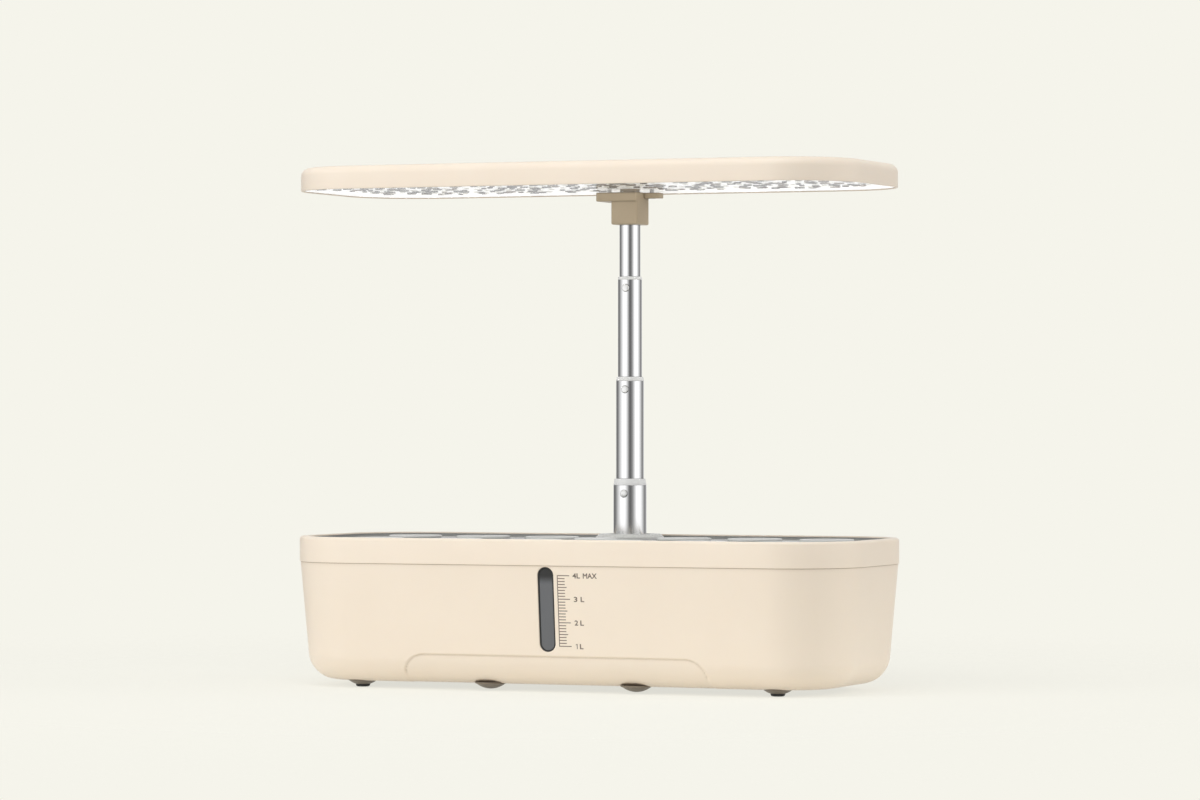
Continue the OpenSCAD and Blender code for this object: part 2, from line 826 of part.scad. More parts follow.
module pump_cover() {
    slot_pitch = (pump_h - 2 * cover_frame) / cover_slots;
    color(black) difference() {
        translate([pump_front, pump_y - pump_w / 2 + pump_wall, pump_z])
            cube([cover_t, pump_w - 2 * pump_wall, pump_h]);
        for (i = [0 : cover_slots - 1]) for (side = [-1, 1])
            translate([pump_front - over, pump_y + side * pump_w / 5 - pump_w / 9,
                pump_z + cover_frame + (i + 0.25) * slot_pitch])
                cube([cover_t + 2 * over, 2 * pump_w / 9, slot_pitch / 2]);
        at_pump_axis() rod_x(shaft_d, pump_front - over, pump_front + cover_t / 2);
    }
}

module impeller_shaft() {
    color(white) at_pump_axis()
        rod_x(shaft_d - 2 * press_gap, volute_x - rotor_l - vane_gap - shaft_seat, pump_front + cover_t / 2);
}

module impeller() {
    color(white) at_pump_axis() difference() {
        union() {
            rod_x(rotor_d, volute_x - rotor_l, volute_x + vane_gap);
            rod_x(vane_d, volute_x + vane_gap, volute_x + vane_gap + vane_t);
            rod_x(vane_hub_d, volute_x + vane_gap, pump_front - vane_gap);
            for (i = [0 : vane_n - 1]) rotate([360 * i / vane_n, 0, 0])
                translate([volute_x + vane_gap, -vane_t / 2, shaft_d])
                    cube([vane_l, vane_t, vane_d / 2 - shaft_d - vane_tip_in]);
        }
        rod_x(shaft_d + 2 * run_gap, volute_x - rotor_l - over, pump_front);
    }
}

module riser_tube() {
    color(smoke) at([riser_x, pump_y]) difference() {
        pipe(riser_d, riser_bore, pump_top, deck_under);
        translate([0, 0, deck_under - stub_h - spray_d]) {
            rod_x(spray_d, 0, riser_d);
            rod_y(spray_d, 0, riser_d);
        }
    }
}

// ---------------------------------------------------------------- fill cap and baskets

module fill_cap() {
    color(deck_grey) at([0, fill_y]) difference() {
        union() {
            rod(fill_d + 2 * cap_rim, deck_top, deck_top + cap_t);
            rod(fill_d - 2 * basket_gap, deck_top - cap_plug, deck_top + cap_t / 2);
        }
        rod(fill_d - 2 * basket_gap - 2 * boss_wall, deck_top - cap_plug - over, deck_top - over);
        translate([0, -fill_d / 3, deck_top + cap_t + fill_d / 4]) sphere(fill_d / 4 + over, $fn = small_fn);
    }
}

// Net basket: rim on the deck, tapered cup with slots and holes in its floor
module basket(i) {
    cup_d = basket_hole - 2 * basket_gap;
    foot_d = cup_d * basket_taper;
    foot_z = deck_top - basket_depth;
    color(deck_grey) at(basket_sites[i - 1]) difference() {
        union() {
            rod(basket_rim_d, deck_top, deck_top + basket_rim_t);
            translate([0, 0, foot_z])
                cylinder(h = basket_depth + basket_rim_t / 2, d1 = foot_d, d2 = cup_d, $fn = round_fn);
        }
        translate([0, 0, foot_z + basket_wall])
            cylinder(h = basket_depth + basket_rim_t, d1 = foot_d - 2 * basket_wall,
                d2 = cup_d - 2 * basket_wall, $fn = round_fn);
        for (k = [0 : basket_slots - 1]) rotate(360 * (k + 0.5) / basket_slots)
            translate([0, -basket_slot_w / 2, foot_z + basket_depth / 8])
                cube([cup_d, basket_slot_w, basket_depth * 0.6]);
        rod(foot_d / 3, foot_z - over, foot_z + 2 * basket_wall, small_fn);
    }
}

// ---------------------------------------------------------------- mast

module mast_plug() {
    color(black) at_mast() {
        rod(tube_1_d, plug_z, plug_z + plug_flange_t);
        rod(bores[0] - 2 * press_gap, plug_z, plug_z + plug_h);
    }
}

// Tube k of the mast, 0 is the lowest; it has a hole for its own button and one for the button
// of the tube outside it
module mast_tube(k) {
    color(steel) at_mast() difference() {
        pipe(tube_ds[k], bores[k], feet[k], tops[k]);
        if (k < 3) button_hole(k);
        if (k > 0) button_hole(k - 1);
    }
}

module button_hole(k) {
    translate([0, 0, tops[k] - button_drop]) rod_y(button_d + 2 * button_gap, -tube_1_d, 0);
}

// Collar on top of tube k, with a spigot inside it
module collar(k) {
    color(white) at_mast() difference() {
        union() {
            translate([0, 0, tops[k]])
                cylinder(h = collar_hs[k], d1 = tube_ds[k], d2 = tube_ds[k + 1] + 2 * collar_lip,
                    $fn = round_fn);
            rod(bores[k] - 2 * press_gap, tops[k] - spigot_h, tops[k] + collar_hs[k] / 2);
        }
        rod(tube_ds[k + 1] + 2 * run_gap, tops[k] - spigot_h - over, tops[k] + collar_hs[k] + over);
    }
}

// Bush at the foot of tube k, which slides in the tube outside it
module slide_bush(k) {
    color(white) at_mast()
        pipe(bores[k - 1] - 2 * run_gap, tube_ds[k] + 2 * press_gap, feet[k], feet[k] + bush_h);
}

// Snap clip in tube k + 1: a leaf spring with a button that passes both tubes' walls
module snap_clip(k) {
    inner = sqrt(pow(bores[k + 1] / 2, 2) - pow(leaf_w / 2, 2)) - leaf_gap;
    tip = tube_ds[k] / 2 + button_proud;
    color(steel) at_mast() translate([0, 0, tops[k] - button_drop]) {
        translate([-leaf_w / 2, -inner, -leaf_down]) cube([leaf_w, leaf_t, leaf_down + leaf_up]);
        intersection() {
            rod_y(button_d, -tip, -inner + leaf_t / 2);
            translate([0, button_d - tip, 0]) sphere(button_d, $fn = small_fn);
        }
        rod_y(button_d, -inner - 1, -inner + leaf_t / 2);
    }
}

// Coiled lead to the lamp, the stretch inside tube k, with its coil's outer shape
module mast_lead(k) {
    color(black) at_mast() translate([0, lead_shift, 0])
        rod(lead_coil_d, lead_ends[k], lead_ends[k + 1], small_fn);
}

// ---------------------------------------------------------------- head bracket

module bracket_plate(x0, x1, y0, y1, z0) {
    translate([(x0 + x1) / 2, (y0 + y1) / 2, z0]) linear_extrude(lens_z - z0)
        round_rect(x1 - x0, y1 - y0, bracket_r);
}

module head_bracket() {
    color(taupe) at_mast() difference() {
        union() {
            translate([0, 0, socket_z + socket_chamfer])
                linear_extrude(lens_z - socket_z - socket_chamfer)
                    round_rect(socket_w, socket_l, bracket_r);
            hull() {
                translate([0, 0, socket_z]) linear_extrude(chamfer_t)
                    round_rect(socket_w - 2 * socket_chamfer, socket_l - 2 * socket_chamfer, bracket_r);
                translate([0, 0, socket_z + socket_chamfer]) linear_extrude(chamfer_t)
                    round_rect(socket_w, socket_l, bracket_r);
            }
            bracket_plate(-wing_l, socket_w / 2, -socket_l / 2 - flange_proud, socket_l / 2,
                lens_z - flange_t);
            bracket_plate(0, wing_l, socket_l / 2 - tab_w, socket_l / 2, lens_z - tab_t);
            rod(spigot_d, lens_z - over, board_top + spigot_rise);
        }
        rod(tube_4_d + 2 * run_gap, socket_z - over, tops[3]);
        rod(spigot_bore, socket_z, board_top + spigot_rise + over);
        for (site = [left_screw, right_screw])
            at(site) rod(screw_d + 2 * screw_gap, socket_z, lens_z + over, small_fn);
        at(left_screw)
            rod(head_d + 2 * screw_gap, lens_z - flange_t - over, lens_z - flange_t / 2, small_fn);
        at(right_screw)
            rod(head_d + 2 * screw_gap, lens_z - tab_t - over, lens_z - tab_t / 2, small_fn);
    }
}

module bracket_screw(seat_z) {
    rod(head_d, seat_z - head_h, seat_z, small_fn);
    rod(screw_d, seat_z - head_h / 2, screw_tip, small_fn);
}

module bracket_screws() {
    color(steel) at_mast() {
        at(left_screw) bracket_screw(lens_z - flange_t / 2);
        at(right_screw) bracket_screw(lens_z - tab_t / 2);
    }
}

// ---------------------------------------------------------------- lamp

// Rings of the lamp housing's top edge; off = 0 is its outside, off = lamp_wall its inside
function lamp_rows(off) = [
    for (k = [0 : fillet_steps])
        let (a = 90 * k / fillet_steps)
        [lamp_inset + lamp_edge_r - (lamp_edge_r - off) * cos(a),
         lamp_top - lamp_edge_r + (lamp_edge_r - off) * sin(a)]
];

// Rings of the lamp's inside: the board's recess, the ledge over it and the room above
function lamp_room_rows() = [
    [lamp_inset + lamp_wall, lamp_z - over],
    [lamp_inset + lamp_wall, board_top],
    [lamp_inset + lamp_wall + ledge_w, board_top],
    [lamp_inset + lamp_wall + ledge_w, board_top + ledge_h],
    [lamp_inset + lamp_wall, board_top + ledge_h],
    each lamp_rows(lamp_wall)
];

module key_sites() {
    for (s = [-1, 1]) at([s * key_pitch / 2, key_y]) children();
}

module lamp_housing() {
    color(cream) difference() {
        union() {
            difference() {
                loft([[lamp_inset, lamp_z], each lamp_rows(0)]);
                loft(lamp_room_rows());
            }
            for (site = post_sites) at(site) rod(post_d, board_top, lamp_top - lamp_wall / 2, small_fn);
            for (s = [-1, 1]) at([s * (control_l / 2 - post_d / 2), key_y])
                rod(post_d, control_top, lamp_top - lamp_wall / 2, small_fn);
            at_mast() for (site = [left_screw, right_screw])
                at(site) rod(boss_d, board_top, lamp_top - lamp_wall / 2, small_fn);
        }
        at_mast() for (site = [left_screw, right_screw])
            at(site) rod(screw_d + 2 * thread_gap, board_top - over, screw_tip + screw_tip_gap, small_fn);
        key_sites() rod(key_d + 2 * key_gap, skin_under - over, lamp_top + over, small_fn);
    }
}

// Holes for the bracket's spigot and its screws
module bracket_holes(z0, z1) {
    at_mast() {
        rod(board_hole_d, z0 - over, z1 + over);
        for (site = [left_screw, right_screw])
            at(site) rod(screw_d + 2 * screw_gap, z0 - over, z1 + over, small_fn);
    }
}

// Clear tray under the board: its edge wall seats against the board
module lens_cover() {
    color([0.85, 0.88, 0.9, 0.35]) difference() {
        union() {
            plan_plate(board_inset, lens_z, lens_top);
            plan_wall(board_inset, board_inset + lens_t, lens_top - over / 2, board_z);
        }
        bracket_holes(lens_z, lens_top);
    }
}

module led_board() {
    color(white) difference() {
        plan_plate(board_inset, board_z, board_top);
        bracket_holes(board_z, board_top);
    }
}

// True where an LED at x, y keeps its margin to the board's edge and to the bracket
function led_fits(x, y) =
    let (cx = max(abs(x) - (plan_l / 2 - plan_r), 0), cy = max(abs(y) - (plan_w / 2 - plan_r), 0))
    norm([cx, cy]) < plan_r - board_inset - led_margin && norm([x, y - mast_y]) > led_keep_out;

module led_chips() {
    color([0.95, 0.85, 0.45]) for (i = [0 : led_cols - 1]) for (j = [0 : led_rows - 1]) {
        x = (i - (led_cols - 1) / 2) * led_pitch_x;
        y = (j - (led_rows - 1) / 2) * led_pitch_y;
        if (led_fits(x, y))
            translate([x - led_size / 2, y - led_size / 2, board_z - led_t])
                cube([led_size, led_size, led_t]);
    }
}

module control_board() {
    color([0.1, 0.35, 0.2]) {
        translate([0, key_y, control_top - control_t]) linear_extrude(control_t)
            round_rect(control_l, control_w, control_r);
        key_sites() translate([-switch_w / 2, -switch_w / 2, control_top])
            cube([switch_w, switch_w, switch_h]);
    }
}

// Push button in the lamp's top, number side: -1 is left, 1 is right
module key_cap(side) {
    color(white) at([side * key_pitch / 2, key_y]) {
        rod(key_d, skin_under - key_stem, lamp_top + key_proud, small_fn);
        rod(key_flange_d, skin_under - key_gap / 2 - key_flange_t, skin_under - key_gap / 2, small_fn);
    }
}

tank_shell();
level_window();
window_gasket();
foot_pads();
rim_frame();
planting_deck();
hub_ring();
mast_sleeve();
sleeve_screws();
dc_inlet();
inlet_nut();
deck_leads();
pump_body();
pump_cover();
impeller_shaft();
riser_tube();
impeller();
fill_cap();
basket(1);  // basket_1
basket(2);  // basket_2
basket(3);  // basket_3
basket(4);  // basket_4
basket(5);  // basket_5
basket(6);  // basket_6
basket(7);  // basket_7
basket(8);  // basket_8
basket(9);  // basket_9
basket(10);  // basket_10
basket(11);  // basket_11
basket(12);  // basket_12
mast_plug();
mast_tube(0);  // tube_1
collar(0);  // collar_1
mast_tube(1);  // tube_2
slide_bush(1);  // slide_bush_2
collar(1);  // collar_2
mast_tube(2);  // tube_3
slide_bush(2);  // slide_bush_3
collar(2);  // collar_3
mast_tube(3);  // tube_4
slide_bush(3);  // slide_bush_4
snap_clip(0);  // snap_clip_1
snap_clip(1);  // snap_clip_2
snap_clip(2);  // snap_clip_3
mast_lead(0);  // mast_lead_1
mast_lead(1);  // mast_lead_2
mast_lead(2);  // mast_lead_3
mast_lead(3);  // mast_lead_4
head_bracket();
bracket_screws();
lamp_housing();
lens_cover();
led_board();
led_chips();
control_board();
key_cap(-1);  // power_button
key_cap(1);  // timer_button
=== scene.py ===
import json
from math import atan2, cos, floor, hypot, pi, radians, sin, sqrt, tan
from random import Random
import bmesh
import bpy
from mathutils import Matrix, Vector

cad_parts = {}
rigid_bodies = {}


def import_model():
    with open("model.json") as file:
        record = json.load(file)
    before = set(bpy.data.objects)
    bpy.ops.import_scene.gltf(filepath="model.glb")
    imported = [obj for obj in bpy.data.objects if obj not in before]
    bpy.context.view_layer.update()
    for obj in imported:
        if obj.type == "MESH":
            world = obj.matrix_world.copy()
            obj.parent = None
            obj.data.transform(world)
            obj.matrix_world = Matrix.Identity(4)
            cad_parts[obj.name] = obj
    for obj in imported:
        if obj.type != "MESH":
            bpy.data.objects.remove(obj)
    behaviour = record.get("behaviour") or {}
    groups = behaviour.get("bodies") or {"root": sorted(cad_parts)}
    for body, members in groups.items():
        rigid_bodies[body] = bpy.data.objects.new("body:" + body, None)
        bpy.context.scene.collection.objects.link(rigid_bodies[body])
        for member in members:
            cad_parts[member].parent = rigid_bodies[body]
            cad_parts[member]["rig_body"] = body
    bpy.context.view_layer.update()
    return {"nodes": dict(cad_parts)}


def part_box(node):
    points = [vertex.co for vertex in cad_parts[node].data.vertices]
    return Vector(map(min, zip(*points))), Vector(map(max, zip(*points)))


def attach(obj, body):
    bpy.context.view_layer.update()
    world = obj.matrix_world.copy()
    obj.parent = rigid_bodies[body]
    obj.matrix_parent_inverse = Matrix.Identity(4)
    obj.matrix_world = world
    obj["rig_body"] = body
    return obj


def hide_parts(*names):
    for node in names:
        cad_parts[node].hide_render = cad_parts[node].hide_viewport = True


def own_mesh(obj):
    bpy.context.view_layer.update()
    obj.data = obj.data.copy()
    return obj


# Countertop hydroponic garden: a cream water tank with a lift-off planting deck, a telescoping
# steel mast and a flat grow lamp. Lengths are in millimetres; X runs along the garden, -Y is
# its front and Z = 0 is the table.
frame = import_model()
scene = bpy.context.scene
scene.view_settings.view_transform = "Standard"


# ---------------------------------------------------------------- camera
# A long lens at about half the garden's height, turned towards its right-hand end. It is nearly
# level, so the mast stays upright in the picture.
CAMERA_TURN = radians(22.394)
CAMERA_FAR = 3313.4
CAMERA_ASIDE = 2.18
CAMERA_UP = 191.58
CAMERA_TILT = radians(0.137)
CAMERA_LENS = 142.97

camera_data = bpy.data.cameras.new("camera")
camera_data.lens = CAMERA_LENS
camera_data.sensor_width = 36
camera_data.clip_end = 30
camera = bpy.data.objects.new("camera", camera_data)
to_right = Vector((cos(CAMERA_TURN), sin(CAMERA_TURN), 0))
to_back = Vector((-sin(CAMERA_TURN), cos(CAMERA_TURN), 0))
camera.location = (to_right * CAMERA_ASIDE - to_back * CAMERA_FAR + Vector((0, 0, CAMERA_UP))) / 1000
camera.rotation_euler = (pi / 2 + CAMERA_TILT, 0, CAMERA_TURN)
scene.collection.objects.link(camera)
scene.camera = camera


# ---------------------------------------------------------------- studio
# A pale cream paper sweep and four soft boxes. The paper's colour comes from the world; the
# table carries the shadow and fades out into it. Metal and clear parts mirror the studio:
# pale paper behind, a white box to either side and dark gaps between them.
PAPER = (0.914, 0.905, 0.831, 1)
DIFFUSE_LEVEL = 0.54
TABLE_REACH = 900
TABLE_FADE = 650
TABLE_TONES = [(0.3, (0.93, 0.92, 0.85, 1)), (0.7, (0.95, 0.94, 0.87, 1))]
# What the table throws back: a painted shadow under the tank, darker than in the open
UNDER_HALF_L = 142
UNDER_HALF_W = 18
UNDER_R = 30
UNDER_SOFT = 12
UNDER_SHADE_TONE = (0.30, 0.28, 0.25, 1)
OPEN_TONE = (0.90, 0.885, 0.82, 1)
SHADOW_SHARE = 0.24
BOUNCE_SHARE = 0.25


def new_material(name):
    """An empty node material, a function that adds a node to it, and one that sets its surface."""
    material = bpy.data.materials.new(name)
    material.use_nodes = True
    add, finish = start_tree(material.node_tree, "OutputMaterial")
    return material, add, finish


def start_tree(tree, output):
    """Empties a node tree. Gives back a function that adds a node and one that sets the surface.
    A node's sockets take values, another node's output, or a node for its first output."""
    tree.nodes.clear()

    def add(kind, sockets=(), **settings):
        node = tree.nodes.new("ShaderNode" + kind)
        for key, value in settings.items():
            setattr(node, key, value)
        for key, value in dict(sockets).items():
            if isinstance(value, bpy.types.Node):
                value = value.outputs[0]
            if isinstance(value, bpy.types.NodeSocket):
                tree.links.new(value, node.inputs[key])
            else:
                node.inputs[key].default_value = value
        return node

    return add, lambda surface: add(output, {"Surface": surface})


def add_ramp(add, source, stops):
    """A colour ramp with its (place, grey or colour) stops."""
    node = add("ValToRGB", {"Fac": source})
    ramp = node.color_ramp
    while len(ramp.elements) < len(stops):
        ramp.elements.new(0.5)
    for element, (place, colour) in zip(ramp.elements, stops):
        element.position = place
        element.color = colour if isinstance(colour, tuple) else (colour, colour, colour, 1)
    return node


def add_range(add, source, low, high, start=0.3, end=0.7, **settings):
    """Spreads a noise, or what lies between start and end, over low to high."""
    return add("MapRange", {"Value": source, "From Min": start, "From Max": end,
                            "To Min": low, "To Max": high}, **settings)


def add_noise(add, place, scale, detail, **sockets):
    return add("TexNoise", {"Vector": place, "Scale": scale, "Detail": detail, **sockets})


# What metal mirrors, by turn from straight behind the garden: 0.5 is towards the camera
STUDIO_BANDS = [(0.0, 0.92), (0.04, 0.85), (0.09, 0.38), (0.15, 0.24), (0.18, 0.28), (0.27, 1.0),
                (0.31, 1.2), (0.365, 1.2), (0.44, 0.33), (0.489, 0.12), (0.52, 0.18), (0.60, 1.15),
                (0.68, 1.2), (0.735, 0.77), (0.82, 0.25), (0.87, 0.17), (0.935, 0.18), (0.965, 0.9)]


def build_world():
    world = bpy.data.worlds.new("studio")
    world.use_nodes = True
    add, finish = start_tree(world.node_tree, "OutputWorld")
    turned = add("Mapping", {"Vector": add("TexCoord").outputs["Generated"],
                             "Rotation": (0, 0, -CAMERA_TURN)}, vector_type="POINT")
    parts = add("SeparateXYZ", {"Vector": turned})
    turn = add("Math", {0: parts.outputs["X"], 1: parts.outputs["Y"]}, operation="ARCTAN2")
    share = add("Math", {0: turn, 1: 1 / (2 * pi), 2: 1.0}, operation="MULTIPLY_ADD")
    bands = add_ramp(add, add("Math", {0: share, 1: 1.0}, operation="MODULO"), STUDIO_BANDS)
    high = add_range(add, parts.outputs["Z"], 0.0, 1.0, 0.12, 0.5)
    mirrored = add("MixRGB", {"Fac": high, "Color1": bands, "Color2": (0.62, 0.62, 0.60, 1)})
    rays = add("LightPath").outputs
    seen = add("Math", {0: rays["Is Camera Ray"], 1: rays["Is Transmission Ray"]}, operation="MAXIMUM")
    soft = add("Background", {"Color": (1, 0.995, 0.985, 1), "Strength": DIFFUSE_LEVEL})
    shiny = add("Background", {"Color": mirrored, "Strength": 1.0})
    paper = add("Background", {"Color": PAPER, "Strength": 1.0})
    lit = add("MixShader", {"Fac": rays["Is Glossy Ray"], 1: soft, 2: shiny})
    finish(add("MixShader", {"Fac": seen, 1: lit, 2: paper}))
    scene.world = world


def build_table():
    material, add, finish = new_material("table_paper")
    place = add("TexCoord").outputs["Object"]
    far = add("VectorMath", {0: place}, operation="LENGTH").outputs["Value"]
    fade = add_range(add, far, 1.0, 0.0, (TABLE_REACH - TABLE_FADE) / 1000, TABLE_REACH / 1000,
                     interpolation_type="SMOOTHSTEP")
    rays = add("LightPath").outputs
    seen = add("Math", {0: rays["Is Camera Ray"], 1: rays["Is Glossy Ray"]}, operation="MAXIMUM")
    tone = add_ramp(add, add_noise(add, place, 260.0, 3.0), TABLE_TONES)
    beyond = add("VectorMath", {0: add("VectorMath", {0: place}, operation="ABSOLUTE"),
                                1: (UNDER_HALF_L / 1000, UNDER_HALF_W / 1000, 0)}, operation="SUBTRACT")
    outside = add("VectorMath", {0: beyond, 1: (0, 0, 0)}, operation="MAXIMUM")
    clear = add("VectorMath", {0: outside}, operation="LENGTH").outputs["Value"]
    # Painted shadow in the bounce: darker inside the tank's footprint
    bounce = add_ramp(add, clear, [(UNDER_R / 1000, UNDER_SHADE_TONE), ((UNDER_R + UNDER_SOFT) / 1000, OPEN_TONE)])
    bounced = rays["Is Diffuse Ray"]
    matt = add("BsdfDiffuse", {"Color": add("MixRGB", {"Fac": bounced, "Color1": tone, "Color2": bounce})})
    bright = add("MixRGB", {"Fac": bounced, "Color1": PAPER, "Color2": bounce})
    glow = add("Emission", {"Color": bright, "Strength": 1.0})
    shadowed = add("Math", {0: seen, 1: SHADOW_SHARE - 1, 2: 1.0}, operation="MULTIPLY_ADD")
    matt_share = add("Math", {0: bounced, 1: -BOUNCE_SHARE, 2: shadowed}, operation="MULTIPLY_ADD")
    paper = add("MixShader", {"Fac": matt_share, 1: glow, 2: matt})
    finish(add("MixShader", {"Fac": fade, 1: add("BsdfTransparent"), 2: paper}))
    mesh = bpy.data.meshes.new("table")
    reach = TABLE_REACH / 1000
    corners = [(-reach, -reach, 0), (reach, -reach, 0), (reach, reach, 0), (-reach, reach, 0)]
    mesh.from_pydata(corners, [], [(0, 1, 2, 3)])
    mesh.materials.append(material)
    table = bpy.data.objects.new("table", mesh)
    scene.collection.objects.link(table)


GARDEN_MIDDLE_Z = 180


def soft_box(name, turn, lift, far, size, power):
    """A square lamp that faces the garden, turn degrees right of the camera and lift up."""
    data = bpy.data.lights.new(name, "AREA")
    data.size = size / 1000
    data.energy = power
    lamp = bpy.data.objects.new(name, data)
    round_to, up = radians(turn) + CAMERA_TURN - pi / 2, radians(lift)
    spot = Vector((cos(round_to) * cos(up), sin(round_to) * cos(up), sin(up)))
    lamp.location = spot * far / 1000 + Vector((0, 0, GARDEN_MIDDLE_Z / 1000))
    lamp.rotation_euler = spot.to_track_quat("Z", "Y").to_euler()
    lamp.visible_glossy = name == "soft_box_top"
    scene.collection.objects.link(lamp)


build_world()
build_table()
soft_box("soft_box_left", -62, 14, 2100, 1300, 13.5)
soft_box("soft_box_right", 88, 14, 2100, 1100, 12)
soft_box("soft_box_low", -16, 3, 2600, 900, 3)
soft_box("soft_box_top", -20, 66, 1700, 900, 10)


# ---------------------------------------------------------------- tank
# The tub that holds the water: one injection moulding in satin cream, with drafted walls, a big
# radius into the floor, a shallow relief panel low on the front, a slot for the level window
# and eight feet domed out of the floor.
PLAN_R = 55
DRAFT = radians(5.1)
TANK_STEP = 0.6
TANK_WALL = 2.4
TANK_FLOOR = 4.5
TANK_FILLET = 20
LIP_R = 0.35
RELIEF_HALF = 112
RELIEF_TOP = 25
RELIEF_R = 16
RELIEF_DEPTH = 0.9
RELIEF_SOFT = 0.9
RELIEF_UNDER = 0.6
RELIEF_LIFT = 0.2
RELIEF_END_INSET = 34
GROOVE_DEPTH = 0.35
GROOVE_AT = 0.4
GROOVE_REACH = 0.9
FLOOR_CAP_INSET = 38
FRONT_STEP = 8
RELIEF_STEP = 1.0
ROW_STEP = 0.4
FILLET_STEP = 0.55
WALL_ROW_STEP = 6
FOOT_SITES = [(sx * x, sy * y) for x, y in ((154, 54), (54, 60)) for sx in (-1, 1) for sy in (-1, 1)]
FOOT_R = 16
FOOT_CLEAR = 1.0
FOOT_SINK = 0.35

rim_low, rim_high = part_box("rim_frame")
HALF_L = rim_high.x * 1000
HALF_W = rim_high.y * 1000
SEAM_Z = rim_low.z * 1000
RIM_Z = rim_high.z * 1000


# Painted shade: the tone that narrow gaps and creases are darkened towards
CREASE_SHADE_TONE = (0.56, 0.51, 0.46, 1)


def paint_crease_shade(add, tone, reach, stops):
    """Paints shade into a tone: darker in narrow gaps and creases, where less light reaches."""
    gap = add("AmbientOcclusion", {"Distance": reach}, samples=12).outputs["AO"]
    return add("MixRGB", {"Fac": 1.0, "Color1": tone, "Color2": add_ramp(add, gap, stops)},
               blend_type="MULTIPLY")


def satin_plastic(name, dim, lit):
    """Satin plastic: a faint cloudiness, the fine texture of the mould and painted shade in its creases."""
    material, add, finish = new_material(name)
    place = add("TexCoord").outputs["Object"]
    cloud = add_noise(add, place, 14.0, 4.0, Roughness=0.55)
    tone = add_ramp(add, cloud, [(0.32, dim + (1,)), (0.68, lit + (1,))])
    grain = add("Bump", {"Strength": 0.10, "Distance": 0.00006, "Height": add_noise(add, place, 2600.0, 2.0)})
    finish(add("BsdfPrincipled", {
        "IOR": 1.46, "Subsurface Weight": 0.06, "Subsurface Scale": 0.004,
        "Subsurface Radius": (1.0, 0.7, 0.45), "Normal": grain,
        "Base Color": paint_crease_shade(add, tone, 0.0022, [(0.50, CREASE_SHADE_TONE), (0.97, 1.0)]),
        "Roughness": add_range(add, add_noise(add, place, 520.0, 3.0), 0.36, 0.44)}))
    return material


def plan_stations(front_xs, corner_steps, side_steps, back_steps):
    """Stations round the plan from the front's left end: a centre and the way out from it."""
    cx, cy = HALF_L - PLAN_R, HALF_W - PLAN_R
    found = [(x, -cy, -pi / 2) for x in front_xs]
    def corner(x, y, start):
        return [(x, y, start + pi / 2 * k / corner_steps) for k in range(1, corner_steps)]
    found += corner(cx, -cy, -pi / 2)
    found += [(cx, -cy + 2 * cy * k / side_steps, 0) for k in range(side_steps + 1)]
    found += corner(cx, cy, 0)
    found += [(cx - 2 * cx * k / back_steps, cy, pi / 2) for k in range(back_steps + 1)]
    found += corner(-cx, cy, pi / 2)
    found += [(-cx, cy - 2 * cy * k / side_steps, pi) for k in range(side_steps + 1)]
    found += corner(-cx, -cy, pi)
    return found


def even(low, high, step):
    """Values from low to high, about a step apart."""
    count = max(1, round((high - low) / step))
    return [low + (high - low) * k / count for k in range(count + 1)]


def quarter(steps):
    """Angles through a quarter turn."""
    return [pi / 2 * k / steps for k in range(steps + 1)]


def plan_ring(stations, inset, z):
    return [(x + (PLAN_R - inset) * cos(a), y + (PLAN_R - inset) * sin(a), z) for x, y, a in stations]


def skin(rings, closed=False):
    """Vertices and faces through rings of equal count; an open stack is capped at both ends."""
    n = len(rings[0])
    points = [p for ring in rings for p in ring]
    last = len(rings) if closed else len(rings) - 1
    faces = []
    for j in range(last):
        up = (j + 1) % len(rings)
        faces += [(j * n + i, j * n + (i + 1) % n, up * n + (i + 1) % n, up * n + i) for i in range(n)]
    if not closed:
        faces += [tuple(range(n - 1, -1, -1)), tuple(range((len(rings) - 1) * n, len(rings) * n))]
    return points, faces


def make_piece(name, shape, finish, sharp=40):
    """A mesh object from (points in millimetres, faces), smooth but for edges sharper than sharp."""
    points, faces = shape
    mesh = bpy.data.meshes.new(name)
    mesh.from_pydata([(x / 1000, y / 1000, z / 1000) for x, y, z in points], [], faces)
    work = bmesh.new()
    work.from_mesh(mesh)
    bmesh.ops.recalc_face_normals(work, faces=work.faces)
    work.to_mesh(mesh)
    work.free()
    mesh.materials.append(finish)
    smooth(mesh, sharp)
    made = bpy.data.objects.new(name, mesh)
    scene.collection.objects.link(made)
    return made


def smooth(mesh, sharp=40):
    mesh.shade_smooth()
    mesh.set_sharp_from_angle(angle=radians(sharp))


def settle(piece, body, slot, *nodes):
    """Puts a finished piece on its body and hides the nodes that it stands for; its slot is not used."""
    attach(piece, body)
    if nodes:
        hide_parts(*nodes)
    return piece


def cut(piece, tools, sharp=40, operation="DIFFERENCE"):
    """Cuts closed tool shapes out of a piece, or adds them to it."""
    for shape in tools:
        tool = make_piece("tool", shape, piece.data.materials[0])
        step = piece.modifiers.new("cut", "BOOLEAN")
        step.operation = operation
        step.solver = "EXACT"
        step.object = tool
        bpy.context.view_layer.update()
        done = bpy.data.meshes.new_from_object(piece.evaluated_get(bpy.context.evaluated_depsgraph_get()))
        piece.modifiers.clear()
        piece.data = done
        bpy.data.objects.remove(tool)
    clean(piece, sharp)
    return piece


def clean(piece, sharp=40):
    """Merges doubled points and drops slivers that a cut leaves."""
    work = bmesh.new()
    work.from_mesh(piece.data)
    bmesh.ops.remove_doubles(work, verts=work.verts, dist=1e-6)
    bmesh.ops.dissolve_degenerate(work, edges=work.edges, dist=1e-7)
    work.to_mesh(piece.data)
    work.free()
    smooth(piece.data, sharp)


def side_inset(z):
    """How far the tank's side stands inside the rim's plan at height z."""
    return TANK_STEP + (SEAM_Z - z) * tan(DRAFT)


